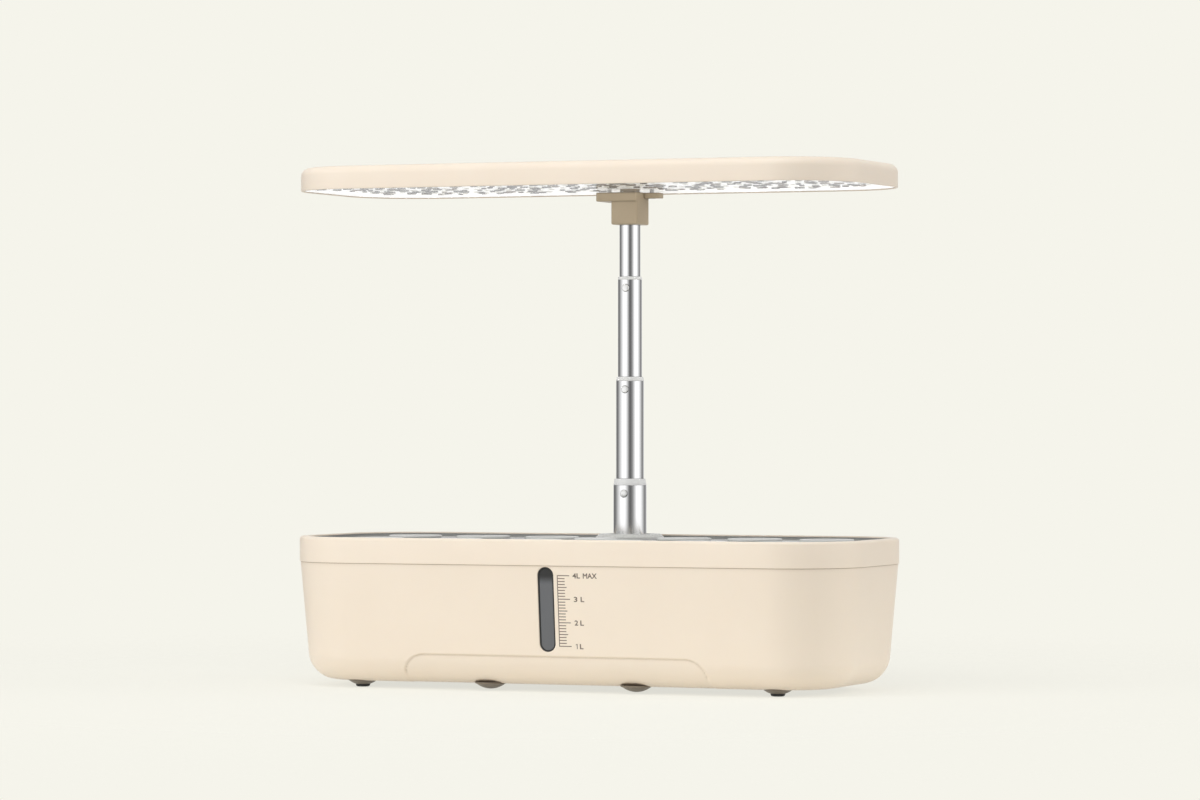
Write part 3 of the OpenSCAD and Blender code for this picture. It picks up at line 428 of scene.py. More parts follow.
def tank_path(off, top):
    """Section of the tank from its floor up the side; off moves it inwards by the wall."""
    fillet_z = TANK_FLOOR + TANK_FILLET
    fillet_in = side_inset(fillet_z) + TANK_FILLET / cos(DRAFT)
    reach = TANK_FILLET - off
    steps = max(8, round(reach * (pi / 2 - DRAFT) / FILLET_STEP))
    turns = [pi / 2 + (DRAFT - pi / 2) * k / steps for k in range(steps + 1)]
    path = [(fillet_in - reach * cos(a), fillet_z - reach * sin(a)) for a in turns]
    return path + [(side_inset(z) + off / cos(DRAFT), z) for z in top]


def relief_share(x, z, inset):
    """1 inside the relief panel, 0 outside it, with a soft step and a fine groove along its outline."""
    along = RELIEF_HALF - abs(x)
    down = RELIEF_TOP - z
    if along < RELIEF_R and down < RELIEF_R:
        depth = RELIEF_R - hypot(RELIEF_R - along, RELIEF_R - down)
    else:
        depth = min(along, down)
    depth = min(depth, RELIEF_END_INSET - inset)
    t = min(1, max(0, depth / RELIEF_SOFT + 0.5))
    return t * t * (3 - 2 * t) + GROOVE_DEPTH * max(0, 1 - abs(depth - GROOVE_AT) / GROOVE_REACH)


def tank_mesh():
    cx = HALF_L - PLAN_R
    edge = RELIEF_HALF + 2
    front = (even(-cx, -edge, FRONT_STEP)[:-1] + even(-edge, edge, RELIEF_STEP)
             + even(edge, cx, FRONT_STEP)[1:])
    stations = plan_stations(front, corner_steps=26, side_steps=6, back_steps=12)
    low = even(TANK_FLOOR + TANK_FILLET * (1 - sin(DRAFT)) + ROW_STEP, RELIEF_TOP + 1.5, ROW_STEP)
    tops = even(RELIEF_TOP + 4, SEAM_Z - LIP_R, WALL_ROW_STEP)
    outside = [(inset, TANK_FLOOR) for inset in even(FLOOR_CAP_INSET, tank_path(0, [])[0][0] + 1.2, 1.2)]
    outside += tank_path(0, low + tops)
    face, back = side_inset(SEAM_Z), side_inset(SEAM_Z) + TANK_WALL / cos(DRAFT)
    lip = [(face + LIP_R * (1 - cos(a)), SEAM_Z - LIP_R * (1 - sin(a))) for a in quarter(3)[1:]]
    inner_lip = [(back - LIP_R * (1 - sin(a)), SEAM_Z - LIP_R * (1 - cos(a))) for a in quarter(3)[:-1]]
    inside = tank_path(TANK_WALL, even(30, SEAM_Z - LIP_R, 14))
    rings = []
    for inset, z in outside:
        ring = []
        for x, y, a in stations:
            share = relief_share(x, z, inset) if a == -pi / 2 else 0
            pressed = inset + RELIEF_DEPTH * share * (1 if z > TANK_FLOOR + 1 else RELIEF_UNDER)
            lift = RELIEF_DEPTH * share * max(0, 1 - (z - TANK_FLOOR) / TANK_FILLET)
            ring.append((x + (PLAN_R - pressed) * cos(a), y + (PLAN_R - pressed) * sin(a), z + lift * RELIEF_LIFT))
        rings.append(ring)
    rings += [plan_ring(stations, inset, z) for inset, z in lip + inner_lip + inside[::-1]]
    return skin(rings)


def wall_point(x, along, out):
    """Point on the front wall: along is measured down its slope from the seam, out from its face."""
    y = -HALF_W + TANK_STEP + along * sin(DRAFT) - out * cos(DRAFT)
    return (x, y, SEAM_Z - along * cos(DRAFT) - out * sin(DRAFT))


WINDOW_X = -3
WINDOW_W = 11.5
WINDOW_TOP = 1.0
WINDOW_L = 58
WINDOW_LIP = 0.7


def window_outline(grow, steps=20):
    """Round-ended outline of the window, as (x, distance down the wall), grown all round."""
    r = WINDOW_W / 2 + grow
    upper = WINDOW_TOP + WINDOW_W / 2
    lower = WINDOW_TOP + WINDOW_L - WINDOW_W / 2
    return [(WINDOW_X + side * r * cos(pi * k / steps), middle - side * r * sin(pi * k / steps))
            for side, middle in ((1, upper), (-1, lower)) for k in range(steps + 1)]


def window_stack(layers, closed=False):
    """Solid through window outlines, each given as (grow, depth behind the wall's face)."""
    return skin([[wall_point(x, along, -depth) for x, along in window_outline(grow)]
                 for grow, depth in layers], closed)


def window_cutter():
    lip = [(WINDOW_LIP * (1 - sin(a)), WINDOW_LIP * (1 - cos(a))) for a in quarter(4)]
    return window_stack([(WINDOW_LIP, -2)] + lip + [(0, TANK_WALL + 2)])


def turned(profile, centre, steps=96):
    """Turns a closed (radius, height) outline about an upright axis; radius 0 is only at its ends."""
    cx, cy = centre
    ring = profile[0][0] > 1e-6
    rows = profile if ring else profile[1:-1]
    rings = [[(cx + r * cos(2 * pi * k / steps), cy + r * sin(2 * pi * k / steps), z) for k in range(steps)]
             for r, z in rows]
    if ring:
        return skin(rings, closed=True)
    points, faces = skin(rings)
    faces = faces[:-2]
    n = len(points)
    points += [(cx, cy, profile[0][1]), (cx, cy, profile[-1][1])]
    last = (len(rows) - 1) * steps
    faces += [(n, (k + 1) % steps, k) for k in range(steps)]
    faces += [(n + 1, last + k, last + (k + 1) % steps) for k in range(steps)]
    return points, faces


def eased(outline, radii, steps=5):
    """Rounds an outline's corners: radii maps a corner's number to its radius."""
    made = []
    n = len(outline)
    for k, (px, py) in enumerate(outline):
        r = radii.get(k, 0) if isinstance(radii, dict) else radii
        if r <= 0:
            made.append((px, py))
            continue
        ax, ay = outline[k - 1][0] - px, outline[k - 1][1] - py
        bx, by = outline[(k + 1) % n][0] - px, outline[(k + 1) % n][1] - py
        la, lb = hypot(ax, ay), hypot(bx, by)
        ax, ay, bx, by = ax / la, ay / la, bx / lb, by / lb
        half = 0.5 * atan2(abs(ax * by - ay * bx), ax * bx + ay * by)
        back = min(r / tan(half), 0.49 * la, 0.49 * lb)
        true_r = back * tan(half)
        mx, my = ax + bx, ay + by
        ml = hypot(mx, my)
        far = true_r / sin(half)
        cx, cy = px + mx / ml * far, py + my / ml * far
        start = atan2(py + ay * back - cy, px + ax * back - cx)
        end = atan2(py + by * back - cy, px + bx * back - cx)
        sweep = (end - start + pi) % (2 * pi) - pi
        made += [(cx + true_r * cos(start + sweep * i / steps), cy + true_r * sin(start + sweep * i / steps))
                 for i in range(steps + 1)]
    return made


def foot_dome(site):
    """Dome of a foot, blended into the tank's floor with a small hollow radius."""
    ball_z = FOOT_CLEAR + FOOT_R
    reach = sqrt(FOOT_R ** 2 - (ball_z - TANK_FLOOR + FOOT_SINK) ** 2)
    profile = [(0, FOOT_CLEAR)]
    profile += [(reach * k / 12, ball_z - sqrt(FOOT_R ** 2 - (reach * k / 12) ** 2)) for k in range(1, 13)]
    profile += [(reach + 0.6, TANK_FLOOR - 0.02), (reach + 1.4, TANK_FLOOR + 0.15),
                (reach + 1.4, TANK_FLOOR + 1.2), (0, TANK_FLOOR + 1.2)]
    return turned(profile, site, 64)


def join(pieces, name):
    """One object of several, whose closed shells may overlap."""
    first = pieces[0]
    with bpy.context.temp_override(active_object=first, object=first, selected_editable_objects=pieces,
                                   selected_objects=pieces):
        bpy.ops.object.join()
    first.name = name
    return first


# Both satin plastics carry painted shade in their creases
cream = satin_plastic("cream_plastic", (0.870, 0.762, 0.640), (0.890, 0.784, 0.662))
# The feet's domes are taupe, made dark as painted shade: they stand in the shade under the tank
foot_taupe_shaded = satin_plastic("foot_taupe_shaded", (0.20, 0.165, 0.125), (0.22, 0.182, 0.14))
tank = make_piece("tank_tub", tank_mesh(), cream)
cut(tank, [window_cutter()])
domes = [make_piece("dome", foot_dome(site), foot_taupe_shaded) for site in FOOT_SITES]
tank = join([tank] + domes, "tank_tub")
settle(tank, "base", "cream_plastic", "tank_shell")


# ---------------------------------------------------------------- level window
# A smoke-tinted pane stands in a soft black gasket in the tank's slot, and the litre scale is
# pad-printed beside it in one brown-grey ink: eight divisions to a litre.
GASKET_W = 0.9
PANE_DEPTH = 0.9
PANE_T = 1.2
SCALE_X = 5.9
SCALE_FULL_Z = 80.2
LITRE_PITCH = 16.03
LITRES = 4
DIVISIONS = 8
TICK_LENGTHS = {8: 8.8, 4: 6.6, 1: 5.3}
TICK_W = 0.55
INK_T = 0.03
CAP_H = 3.5
LABELS = [("4L", 4, 17.1, 5.4), ("MAX", 4, 24.7, 10.2), ("3", 3, 17.5, 2.6), ("L", 3, 22.5, 2.6),
          ("2", 2, 17.5, 2.6), ("L", 2, 21.7, 2.6), ("L", 1, 20.8, 2.6)]
ONE_X = 17.8
ONE_STEM = 0.5
ONE_FLAG = 0.8
STROKE = 0.022


def plain_finish(name, colour, roughness, spread=0.06, grain=0.12, scale=900.0, crease_shade=None, **sockets):
    """Moulded or metal surface of one colour, with a faint cloud, uneven gloss, fine grain and, where a reach is
    given, painted shade in its creases.
    """
    material, add, finish = new_material(name)
    place = add("TexCoord").outputs["Object"]
    fine = add_noise(add, place, scale, 3.0)
    dim = tuple(value * (1 - spread) for value in colour) + (1,)
    lit = tuple(min(1, value * (1 + spread)) for value in colour) + (1,)
    tone = add_ramp(add, add_noise(add, place, scale / 40, 4.0), [(0.3, dim), (0.7, lit)])
    # Painted shade: darker in narrow gaps and creases
    if crease_shade:
        tone = paint_crease_shade(add, tone, crease_shade, [(0.45, 0.5), (0.95, 1.0)])
    finish(add("BsdfPrincipled", {
        **{key.replace("_", " "): value for key, value in sockets.items()}, "Base Color": tone,
        "Roughness": add_range(add, fine, roughness * 0.88, roughness * 1.12),
        "Normal": add("Bump", {"Strength": grain, "Distance": 0.00006, "Height": fine})}))
    return material


SKIRT_SHADE_LOW = 73.5
SKIRT_SHADE_HIGH = 80.5


def smoke_pane():
    """Smoke-tinted pane; its upper end is painted darker, standing in for the deck's dark skirt and the shade
    behind the glass.
    """
    material, add, finish = new_material("smoke_pane")
    place = add("TexCoord").outputs["Object"]
    height = add("SeparateXYZ", {"Vector": place}).outputs["Z"]
    # Painted shade: dark towards the pane's upper end
    depth = add_range(add, height, 0.0, 1.0, SKIRT_SHADE_LOW / 1000, SKIRT_SHADE_HIGH / 1000,
                      interpolation_type="SMOOTHSTEP")
    tone = add_ramp(add, depth, [(0.0, (0.125, 0.130, 0.142, 1)), (1.0, (0.016, 0.016, 0.016, 1))])
    gloss = add_range(add, add_noise(add, place, 380.0, 3.0), 0.12, 0.20)
    finish(add("BsdfPrincipled", {"IOR": 1.49, "Base Color": tone, "Roughness": gloss}))
    return material


def wall_print(corners):
    """Closed film of ink on the front wall over an outline of (x, height) points."""
    n = len(corners)
    points = [wall_point(x, (SEAM_Z - z) / cos(DRAFT), out) for out in (-INK_T, INK_T) for x, z in corners]
    faces = [(i, (i + 1) % n, n + (i + 1) % n, n + i) for i in range(n)]
    return points, faces + [tuple(range(n - 1, -1, -1)), tuple(range(n, 2 * n))]


def merged(shapes):
    """One (points, faces) shape of several."""
    points, faces = [], []
    for more_points, more_faces in shapes:
        start = len(points)
        points += more_points
        faces += [tuple(start + k for k in face) for face in more_faces]
    return points, faces


def wall_text(text, x, z, width):
    """Printed words that start at x and are centred on height z, laid on the front wall."""
    curve = bpy.data.curves.new("words", "FONT")
    curve.body = text
    curve.resolution_u = 4
    curve.offset = STROKE
    words = bpy.data.objects.new("words", curve)
    scene.collection.objects.link(words)
    bpy.context.view_layer.update()
    mesh = bpy.data.meshes.new_from_object(words.evaluated_get(bpy.context.evaluated_depsgraph_get()))
    work = bmesh.new()
    work.from_mesh(mesh)
    bmesh.ops.remove_doubles(work, verts=work.verts, dist=1e-5)
    bmesh.ops.dissolve_limit(work, angle_limit=radians(1), verts=work.verts, edges=work.edges)
    base = [(v.co.x, v.co.y) for v in work.verts]
    work.verts.index_update()
    left, right = min(p[0] for p in base), max(p[0] for p in base)
    low, high = min(p[1] for p in base), max(p[1] for p in base)
    flat = [[v.index for v in face.verts] for face in work.faces]
    rim = [[v.index for v in edge.verts] for edge in work.edges if edge.is_boundary]
    work.free()
    bpy.data.objects.remove(words)
    placed = [(x + (px - left) / (right - left) * width, z + ((py - low) / (high - low) - 0.5) * CAP_H)
              for px, py in base]
    n = len(placed)
    points = [wall_point(px, (SEAM_Z - pz) / cos(DRAFT), out) for out in (-INK_T, INK_T) for px, pz in placed]
    faces = [tuple(face) for face in flat] + [tuple(n + k for k in face) for face in flat]
    return points, faces + [(a, b, n + b, n + a) for a, b in rim]


def bar(x0, x1, z0, z1):
    return wall_print([(x0, z0), (x1, z0), (x1, z1), (x0, z1)])


black_rubber = plain_finish("black_rubber", (0.022, 0.022, 0.022), 0.62, grain=0.25)
ink = plain_finish("scale_ink", (0.150, 0.120, 0.100), 0.55, spread=0.1, scale=3000.0)

gasket = make_piece("window_seal", window_stack([
    (-0.04, 0.5), (-0.3, 0.42), (-GASKET_W + 0.2, 0.5), (-GASKET_W, 0.75), (-GASKET_W, TANK_WALL),
    (-0.04, TANK_WALL)], closed=True), black_rubber)
settle(gasket, "base", "rubber", "window_gasket")

pane = make_piece("window_glazing", window_stack([
    (-GASKET_W - 0.17, PANE_DEPTH), (-GASKET_W - 0.02, PANE_DEPTH + 0.15),
    (-GASKET_W - 0.02, PANE_DEPTH + PANE_T)]), smoke_pane())
settle(pane, "base", "window_pane", "level_window")

marks = []
half = TICK_W / 2
for step in range((LITRES - 1) * DIVISIONS + 1):
    size = next(kind for kind in TICK_LENGTHS if step % kind == 0)
    z = SCALE_FULL_Z - step * LITRE_PITCH / DIVISIONS
    marks.append(bar(SCALE_X + half, SCALE_X + TICK_LENGTHS[size], z - half, z + half))
scale_low = SCALE_FULL_Z - (LITRES - 1) * LITRE_PITCH
marks.append(bar(SCALE_X - half, SCALE_X + half, scale_low - half, SCALE_FULL_Z + half))
for text, litre, x, width in LABELS:
    marks.append(wall_text(text, x, SCALE_FULL_Z - (LITRES - litre) * LITRE_PITCH, width))
# The figure 1 is drawn as a thin stem with a flag
flag_x, top = ONE_X + ONE_FLAG, scale_low + CAP_H / 2
marks.append(bar(flag_x, flag_x + ONE_STEM, scale_low - CAP_H / 2, top))
marks.append(wall_print([(ONE_X, top - 1.0), (flag_x, top - 0.5), (flag_x, top), (ONE_X, top - 0.6)]))
litre_scale = make_piece("litre_scale", merged(marks), ink)
settle(litre_scale, "base", "black_plastic")


# ---------------------------------------------------------------- rubber feet
# A round pad of soft black rubber is pressed into each of the four corner domes, so the tank
# stands on them and doesn't slide.
PAD_R = 4.98
PAD_T = 3.6
PAD_EDGE = 1.5

for number, site in enumerate(FOOT_SITES[:4], 1):
    outline = [(0, 0), (PAD_R - PAD_EDGE, 0)]
    outline += [(PAD_R - PAD_EDGE * (1 - sin(a)), PAD_EDGE * (1 - cos(a))) for a in quarter(4)[1:-1]]
    outline += [(PAD_R, PAD_EDGE), (PAD_R, PAD_T), (0, PAD_T)]
    pad = make_piece(f"rubber_foot_{number}", turned(outline, site, 64), black_rubber)
    settle(pad, "base", "rubber", *(["foot_pads"] if number == 1 else []))


# ---------------------------------------------------------------- rim
# A separate cream frame snaps over the tank's edge and hides it. Its outer edge is rounded, its
# top is a narrow flat band, and its lower edge leaves the fine seam line round the tank.
PLAN_STEP = 16
RIM_WALL = 2.6
RIM_EDGE = 2.0
RIM_LIP = 1.0
SKIRT_Z = 77.6
SKIRT_GAP = 0.4
SKIRT_T = 2.0
SKIRT_INSET = side_inset(SKIRT_Z) + TANK_WALL / cos(DRAFT) + SKIRT_GAP
TRAY_INSET = SKIRT_INSET + SKIRT_T
CAP_INSET = 50
INLET_SITE = (76, 93.05)
INLET_HOLE_D = 8.2
INLET_SEAT_D = 11.2
INLET_SEAT_T = 1.4


def plan_solid(path, closed=False):
    """Solid through plan rings, given as (inset, height); an open path is capped at both ends."""
    cx = HALF_L - PLAN_R
    stations = plan_stations(even(-cx, cx, PLAN_STEP), corner_steps=30, side_steps=6, back_steps=16)
    return skin([plan_ring(stations, inset, z) for inset, z in path], closed)


def rod_along_y(d, x, z, y0, y1, steps=48):
    """Closed cylinder along Y, for a cut."""
    rings = [[(x + d / 2 * cos(2 * pi * k / steps), y, z + d / 2 * sin(2 * pi * k / steps))
              for k in range(steps)] for y in (y0, y1)]
    return skin(rings)


def upright_rod(d, x, y, z0, z1, steps=64):
    return turned([(0, z0), (d / 2, z0), (d / 2, z1), (0, z1)], (x, y), steps)


def slab(x0, x1, y0, y1, z0, z1):
    """Closed square-edged box, for a cut."""
    return skin([[(x0, y0, z), (x1, y0, z), (x1, y1, z), (x0, y1, z)] for z in (z0, z1)])


rim_outline = eased([(0, SEAM_Z), (0, RIM_Z), (TRAY_INSET, RIM_Z), (TRAY_INSET, RIM_Z - RIM_LIP),
                     (RIM_WALL, RIM_Z - RIM_LIP), (RIM_WALL, SEAM_Z)],
                    {0: LIP_R, 1: RIM_EDGE, 2: 0.35, 3: 0.15, 5: 0.2}, 7)
rim = make_piece("rim_band", plan_solid(rim_outline, closed=True), cream)
inlet_x, inlet_z = INLET_SITE
cut(rim, [rod_along_y(INLET_HOLE_D, inlet_x, inlet_z, HALF_W - RIM_WALL - 1, HALF_W + 1),
          rod_along_y(INLET_SEAT_D, inlet_x, inlet_z, HALF_W - INLET_SEAT_T, HALF_W + 1)])
settle(rim, "deck", "cream_plastic", "rim_frame")


# ---------------------------------------------------------------- planting deck
# The dark grey tray that lifts out of the rim: a flat deck with a skirt that hangs inside the
# tank, twelve holes for the baskets, a fill opening, and the mast's sleeve under its rear edge.
DECK_DROP = 2.8
DECK_T = 2.4
DECK_TOP = RIM_Z - DECK_DROP
DECK_UNDER = DECK_TOP - DECK_T
SHOULDER_GAP = 0.25
SHOULDER_IN = RIM_WALL + SHOULDER_GAP
SHOULDER_H = 2.0
BASKET_HOLE = 31
BOSS_WALL = 1.6
BOSS_H = 3.0
FILL_SITE = (0, -2)
FILL_D = 24
MAST_Y = 61.4
SLEEVE_D = 27.0
SLEEVE_GAP = 0.2
BASKET_SITES = [(side * (50 + i * 53), 38) for side in (-1, 1) for i in range(3)]
BASKET_SITES += [((i - 2.5) * 60, -40) for i in range(6)]


def boss(site, bore):
    """Stiffening tube under the deck, round one of its holes."""
    r = bore / 2
    corners = [(r, DECK_UNDER - BOSS_H), (r + BOSS_WALL, DECK_UNDER - BOSS_H),
               (r + BOSS_WALL, DECK_UNDER + 1), (r, DECK_UNDER + 1)]
    return turned(eased(corners, {0: 0.3, 1: 0.4}, 3), site, 64)


deck_grey = plain_finish("deck_grey", (0.27, 0.275, 0.265), 0.24, spread=0.05, grain=0.2, IOR=1.5)
deck_path = [(CAP_INSET, DECK_UNDER), (TRAY_INSET + 0.6, DECK_UNDER), (TRAY_INSET + 0.1, DECK_UNDER - 0.5),
             (TRAY_INSET, DECK_UNDER - 1), (TRAY_INSET, SKIRT_Z + 0.4), (TRAY_INSET - 0.3, SKIRT_Z),
             (SKIRT_INSET + 0.3, SKIRT_Z), (SKIRT_INSET, SKIRT_Z + 0.4), (SKIRT_INSET, SEAM_Z + SHOULDER_GAP),
             (SHOULDER_IN, SEAM_Z + SHOULDER_GAP), (SHOULDER_IN, SEAM_Z + SHOULDER_H - 0.4),
             (SHOULDER_IN + 0.4, SEAM_Z + SHOULDER_H), (SKIRT_INSET, SEAM_Z + SHOULDER_H),
             (SKIRT_INSET, RIM_Z - RIM_LIP - 0.3), (SKIRT_INSET + 0.3, RIM_Z - RIM_LIP),
             (TRAY_INSET - 0.3, RIM_Z - RIM_LIP), (TRAY_INSET, RIM_Z - RIM_LIP - 0.3),
             (TRAY_INSET, DECK_TOP + 0.6), (TRAY_INSET + 0.18, DECK_TOP + 0.18), (TRAY_INSET + 0.6, DECK_TOP),
             (CAP_INSET, DECK_TOP)]
deck = make_piece("deck_tray", plan_solid(deck_path), deck_grey)
openings = [(BASKET_HOLE, site) for site in BASKET_SITES]
openings += [(FILL_D, FILL_SITE), (SLEEVE_D + SLEEVE_GAP, (0, MAST_Y))]
holes = [upright_rod(d, *site, DECK_UNDER - 2, DECK_TOP + 2) for d, site in openings]
holes.append(rod_along_y(INLET_HOLE_D, inlet_x, inlet_z, HALF_W - TRAY_INSET - 1, HALF_W))
cut(deck, holes)
bosses = [make_piece("boss", boss(site, d), deck_grey) for d, site in openings[:-1]]
deck = join([deck] + bosses, "deck_tray")
settle(deck, "deck", "deck_plastic", "planting_deck")

# The pale ring round the mast's foot, cut off flat behind, where it meets the deck's rear wall
HUB_D = 48
HUB_BORE = 30.6
HUB_RISE = 0.6
HUB_SLOPE = 2.6
HUB_WALL = 1.4
satin_white = plain_finish("satin_white", (0.62, 0.62, 0.60), 0.28, spread=0.02, grain=0.08, IOR=1.5)
hub_outline = eased([(HUB_BORE / 2, DECK_TOP), (HUB_D / 2, DECK_TOP), (HUB_D / 2, DECK_TOP + HUB_WALL),
                     (HUB_D / 2 - HUB_SLOPE, RIM_Z + HUB_RISE), (HUB_BORE / 2, RIM_Z + HUB_RISE)],
                    {2: 0.8, 3: 0.9, 4: 0.5}, 5)
hub = make_piece("hub_trim", turned(hub_outline, (0, MAST_Y), 128), satin_white)
rear = HALF_W - TRAY_INSET - 0.1
cut(hub, [slab(-HUB_D, HUB_D, rear, rear + HUB_D, DECK_TOP - 2, RIM_Z + 3)], 30)
settle(hub, "deck", "collar_plastic", "hub_ring")


def recoat(material, *nodes):
    """Gives carried-over pieces their finish."""
    for node in nodes:
        mesh = frame["nodes"][node].data
        mesh.materials.clear()
        mesh.materials.append(material)


steel_screws = plain_finish("zinc_plated", (0.52, 0.52, 0.53), 0.28, scale=1500.0, Metallic=1.0)
recoat(deck_grey, "mast_sleeve")
recoat(steel_screws, "sleeve_screws", "inlet_nut")


# ---------------------------------------------------------------- baskets and fill cap
# Twelve net baskets of softer grey plastic drop into the deck. Each has a broad flange, a
# tapered cup, six round-ended slots and a drain hole. The fill opening has a dished cap.
BASKET_RIM_D = 38
BASKET_RIM_T = 1.6
BASKET_DEPTH = 46
BASKET_WALL = 1.4
BASKET_TAPER = 0.78
BASKET_GAP = 0.3
BASKET_SLOTS = 6
BASKET_SLOT_W = 4
BASKET_DRAIN = 1 / 3


def basket_shape():
    top_r = BASKET_HOLE / 2 - BASKET_GAP
    foot_r = top_r * BASKET_TAPER
    foot_z = DECK_TOP - BASKET_DEPTH
    drain_r = foot_r * BASKET_DRAIN
    crown = DECK_TOP + BASKET_RIM_T
    corners = [(drain_r, foot_z), (foot_r, foot_z), (top_r, DECK_TOP), (BASKET_RIM_D / 2, DECK_TOP),
               (BASKET_RIM_D / 2, crown), (top_r - BASKET_WALL, crown),
               (foot_r - BASKET_WALL, foot_z + BASKET_WALL), (drain_r, foot_z + BASKET_WALL)]
    radii = {0: 0.3, 1: 1.0, 3: 0.3, 4: 0.75, 5: 0.9, 6: 0.8, 7: 0.3}
    return turned(eased(corners, radii, 4), (0, 0), 96)


def basket_slot(number):
    """Round-ended cutter through the basket's wall."""
    turn = 2 * pi * (number + 0.5) / BASKET_SLOTS
    r = BASKET_SLOT_W / 2
    low = DECK_TOP - BASKET_DEPTH * 7 / 8
    high = low + BASKET_DEPTH * 0.6
    outline = [(-r * cos(pi * k / 10), low + r - r * sin(pi * k / 10)) for k in range(11)]
    outline += [(r * cos(pi * k / 10), high - r + r * sin(pi * k / 10)) for k in range(11)]
    return skin([[(reach * cos(turn) - side * sin(turn), reach * sin(turn) + side * cos(turn), z)
                  for side, z in outline] for reach in (5, 20)])


basket_grey = plain_finish("basket_grey", (0.66, 0.665, 0.65), 0.24, spread=0.04, grain=0.15, IOR=1.5)
pattern = make_piece("basket", basket_shape(), basket_grey)
cut(pattern, [basket_slot(k) for k in range(BASKET_SLOTS)])
for number, (x, y) in enumerate(BASKET_SITES, 1):
    mesh = pattern.data.copy()
    mesh.transform(Matrix.Translation((x / 1000, y / 1000, 0)))
    basket = bpy.data.objects.new(f"net_basket_{number}", mesh)
    scene.collection.objects.link(basket)
    settle(basket, f"pod_{number}", "basket_plastic", f"basket_{number}")
bpy.data.objects.remove(pattern)

CAP_RIM = 3
CAP_T = 2
CAP_PLUG = 6
plug_r = FILL_D / 2 - BASKET_GAP
dish = FILL_D / 4 + 1
dish_z = DECK_TOP + CAP_T + FILL_D / 4
cap_r = FILL_D / 2 + CAP_RIM
cap_outline = eased([(0, DECK_TOP - 1), (plug_r - BOSS_WALL, DECK_TOP - 1),
                     (plug_r - BOSS_WALL, DECK_TOP - CAP_PLUG), (plug_r, DECK_TOP - CAP_PLUG),
                     (plug_r, DECK_TOP), (cap_r, DECK_TOP), (cap_r, DECK_TOP + CAP_T), (0, DECK_TOP + CAP_T)],
                    {2: 0.3, 3: 0.5, 5: 0.3, 6: 0.8}, 5)
cap = make_piece("filler_cap", turned(cap_outline, FILL_SITE, 96), basket_grey)
ball = [(0, dish_z - dish)]
ball += [(dish * sin(pi * k / 24), dish_z - dish * cos(pi * k / 24)) for k in range(1, 24)]
ball += [(0, dish_z + dish)]
cut(cap, [turned(ball, (FILL_SITE[0], FILL_SITE[1] - FILL_D / 3), 64)])
settle(cap, "cap", "deck_plastic", "fill_cap")


# ---------------------------------------------------------------- pump, inlet and leads
# Under the deck hang a small black pump with a slotted cover, its clear riser and two rubber
# leads from the power inlet, whose flange sits in the rear of the rim.
black_plastic = plain_finish("black_plastic", (0.024, 0.024, 0.026), 0.38, grain=0.2, IOR=1.5)
white_nylon = plain_finish("white_nylon", (0.74, 0.74, 0.72), 0.35, spread=0.02)
silicone = plain_finish("silicone_hose", (0.70, 0.72, 0.72), 0.25, spread=0.02, Transmission_Weight=0.5)
recoat(black_plastic, "pump_body", "pump_cover", "dc_inlet", "mast_plug")
recoat(white_nylon, "impeller", "impeller_shaft", "slide_bush_2", "slide_bush_3", "slide_bush_4")
recoat(silicone, "riser_tube")
recoat(black_rubber, "deck_leads")


# ---------------------------------------------------------------- mast
# Four drawn steel tubes, polished and chromed, slide in one another. Pale collars are pressed
# on their tops, and a domed snap button holds each tube where its hole is.
TUBE_DS = (23.4, 19.6, 17.0, 14.8)
TUBE_WALLS = (1.1, 0.7, 0.7, 0.7)
TUBE_TOPS = (139.6, 213.2, 284.8, 342.95)
TUBE_FEET = (48.5, 115.2, 188.8, 260.4)
COLLAR_HS = (4.5, 2.8, 2.0)
COLLAR_LIP = 1.0
COLLAR_SPIGOT = 2.4
RUN_GAP = 0.05
BUTTON_DROP = 6.0
BUTTON_D = 5.2
BUTTON_PROUD = 0.9
BUTTON_GAP = 0.2
LEAF_T = 0.6
LEAF_W = 6
LEAF_UP = BUTTON_D / 2 + 0.4
LEAF_DOWN = 14
LEAF_GAP = 0.2
AXIS = (0, MAST_Y)


def chrome():
    """Polished steel with the faint draw lines of the tube, a little uneven gloss and painted shade in its
    creases.
    """
    material, add, finish = new_material("chromed_steel")
    drawn = add("Mapping", {"Vector": add("TexCoord").outputs["Object"], "Scale": (1.0, 1.0, 0.02)})
    lines = add_noise(add, drawn, 1600.0, 3.0)
    tone = add_ramp(add, lines, [(0.3, (0.905, 0.905, 0.91, 1)), (0.7, (0.935, 0.935, 0.94, 1))])
    # The base colour carries painted shade in narrow gaps
    finish(add("BsdfPrincipled", {
        "Metallic": 1.0, "Base Color": paint_crease_shade(add, tone, 0.0009, [(0.45, 0.3), (0.92, 1.0)]),
        "Roughness": add_range(add, lines, 0.09, 0.13),
        "Normal": add("Bump", {"Strength": 0.05, "Distance": 0.00003, "Height": lines})}))
    return material


def true_round(piece, centre):
    """Sets the normals of a tube's walls square to its axis, so that cuts leave no mark on them."""
    mesh = piece.data
    cx, cy = centre[0] / 1000, centre[1] / 1000
    normals = []
    for face in mesh.polygons:
        away = Vector((face.center.x - cx, face.center.y - cy, 0)).normalized()
        side = face.normal.dot(away)
        for loop in face.loop_indices:
            point = mesh.vertices[mesh.loops[loop].vertex_index].co
            out = Vector((point.x - cx, point.y - cy, 0)).normalized()
            normals.append(out * (1 if side > 0 else -1) if abs(side) > 0.97 else face.normal.copy())
    mesh.normals_split_custom_set(normals)


def tube_shape(k):
    outer, inner = TUBE_DS[k] / 2, TUBE_DS[k] / 2 - TUBE_WALLS[k]
    corners = [(inner, TUBE_FEET[k]), (outer, TUBE_FEET[k]), (outer, TUBE_TOPS[k]), (inner, TUBE_TOPS[k])]
    return turned(eased(corners, 0.2, 3), AXIS, 160)


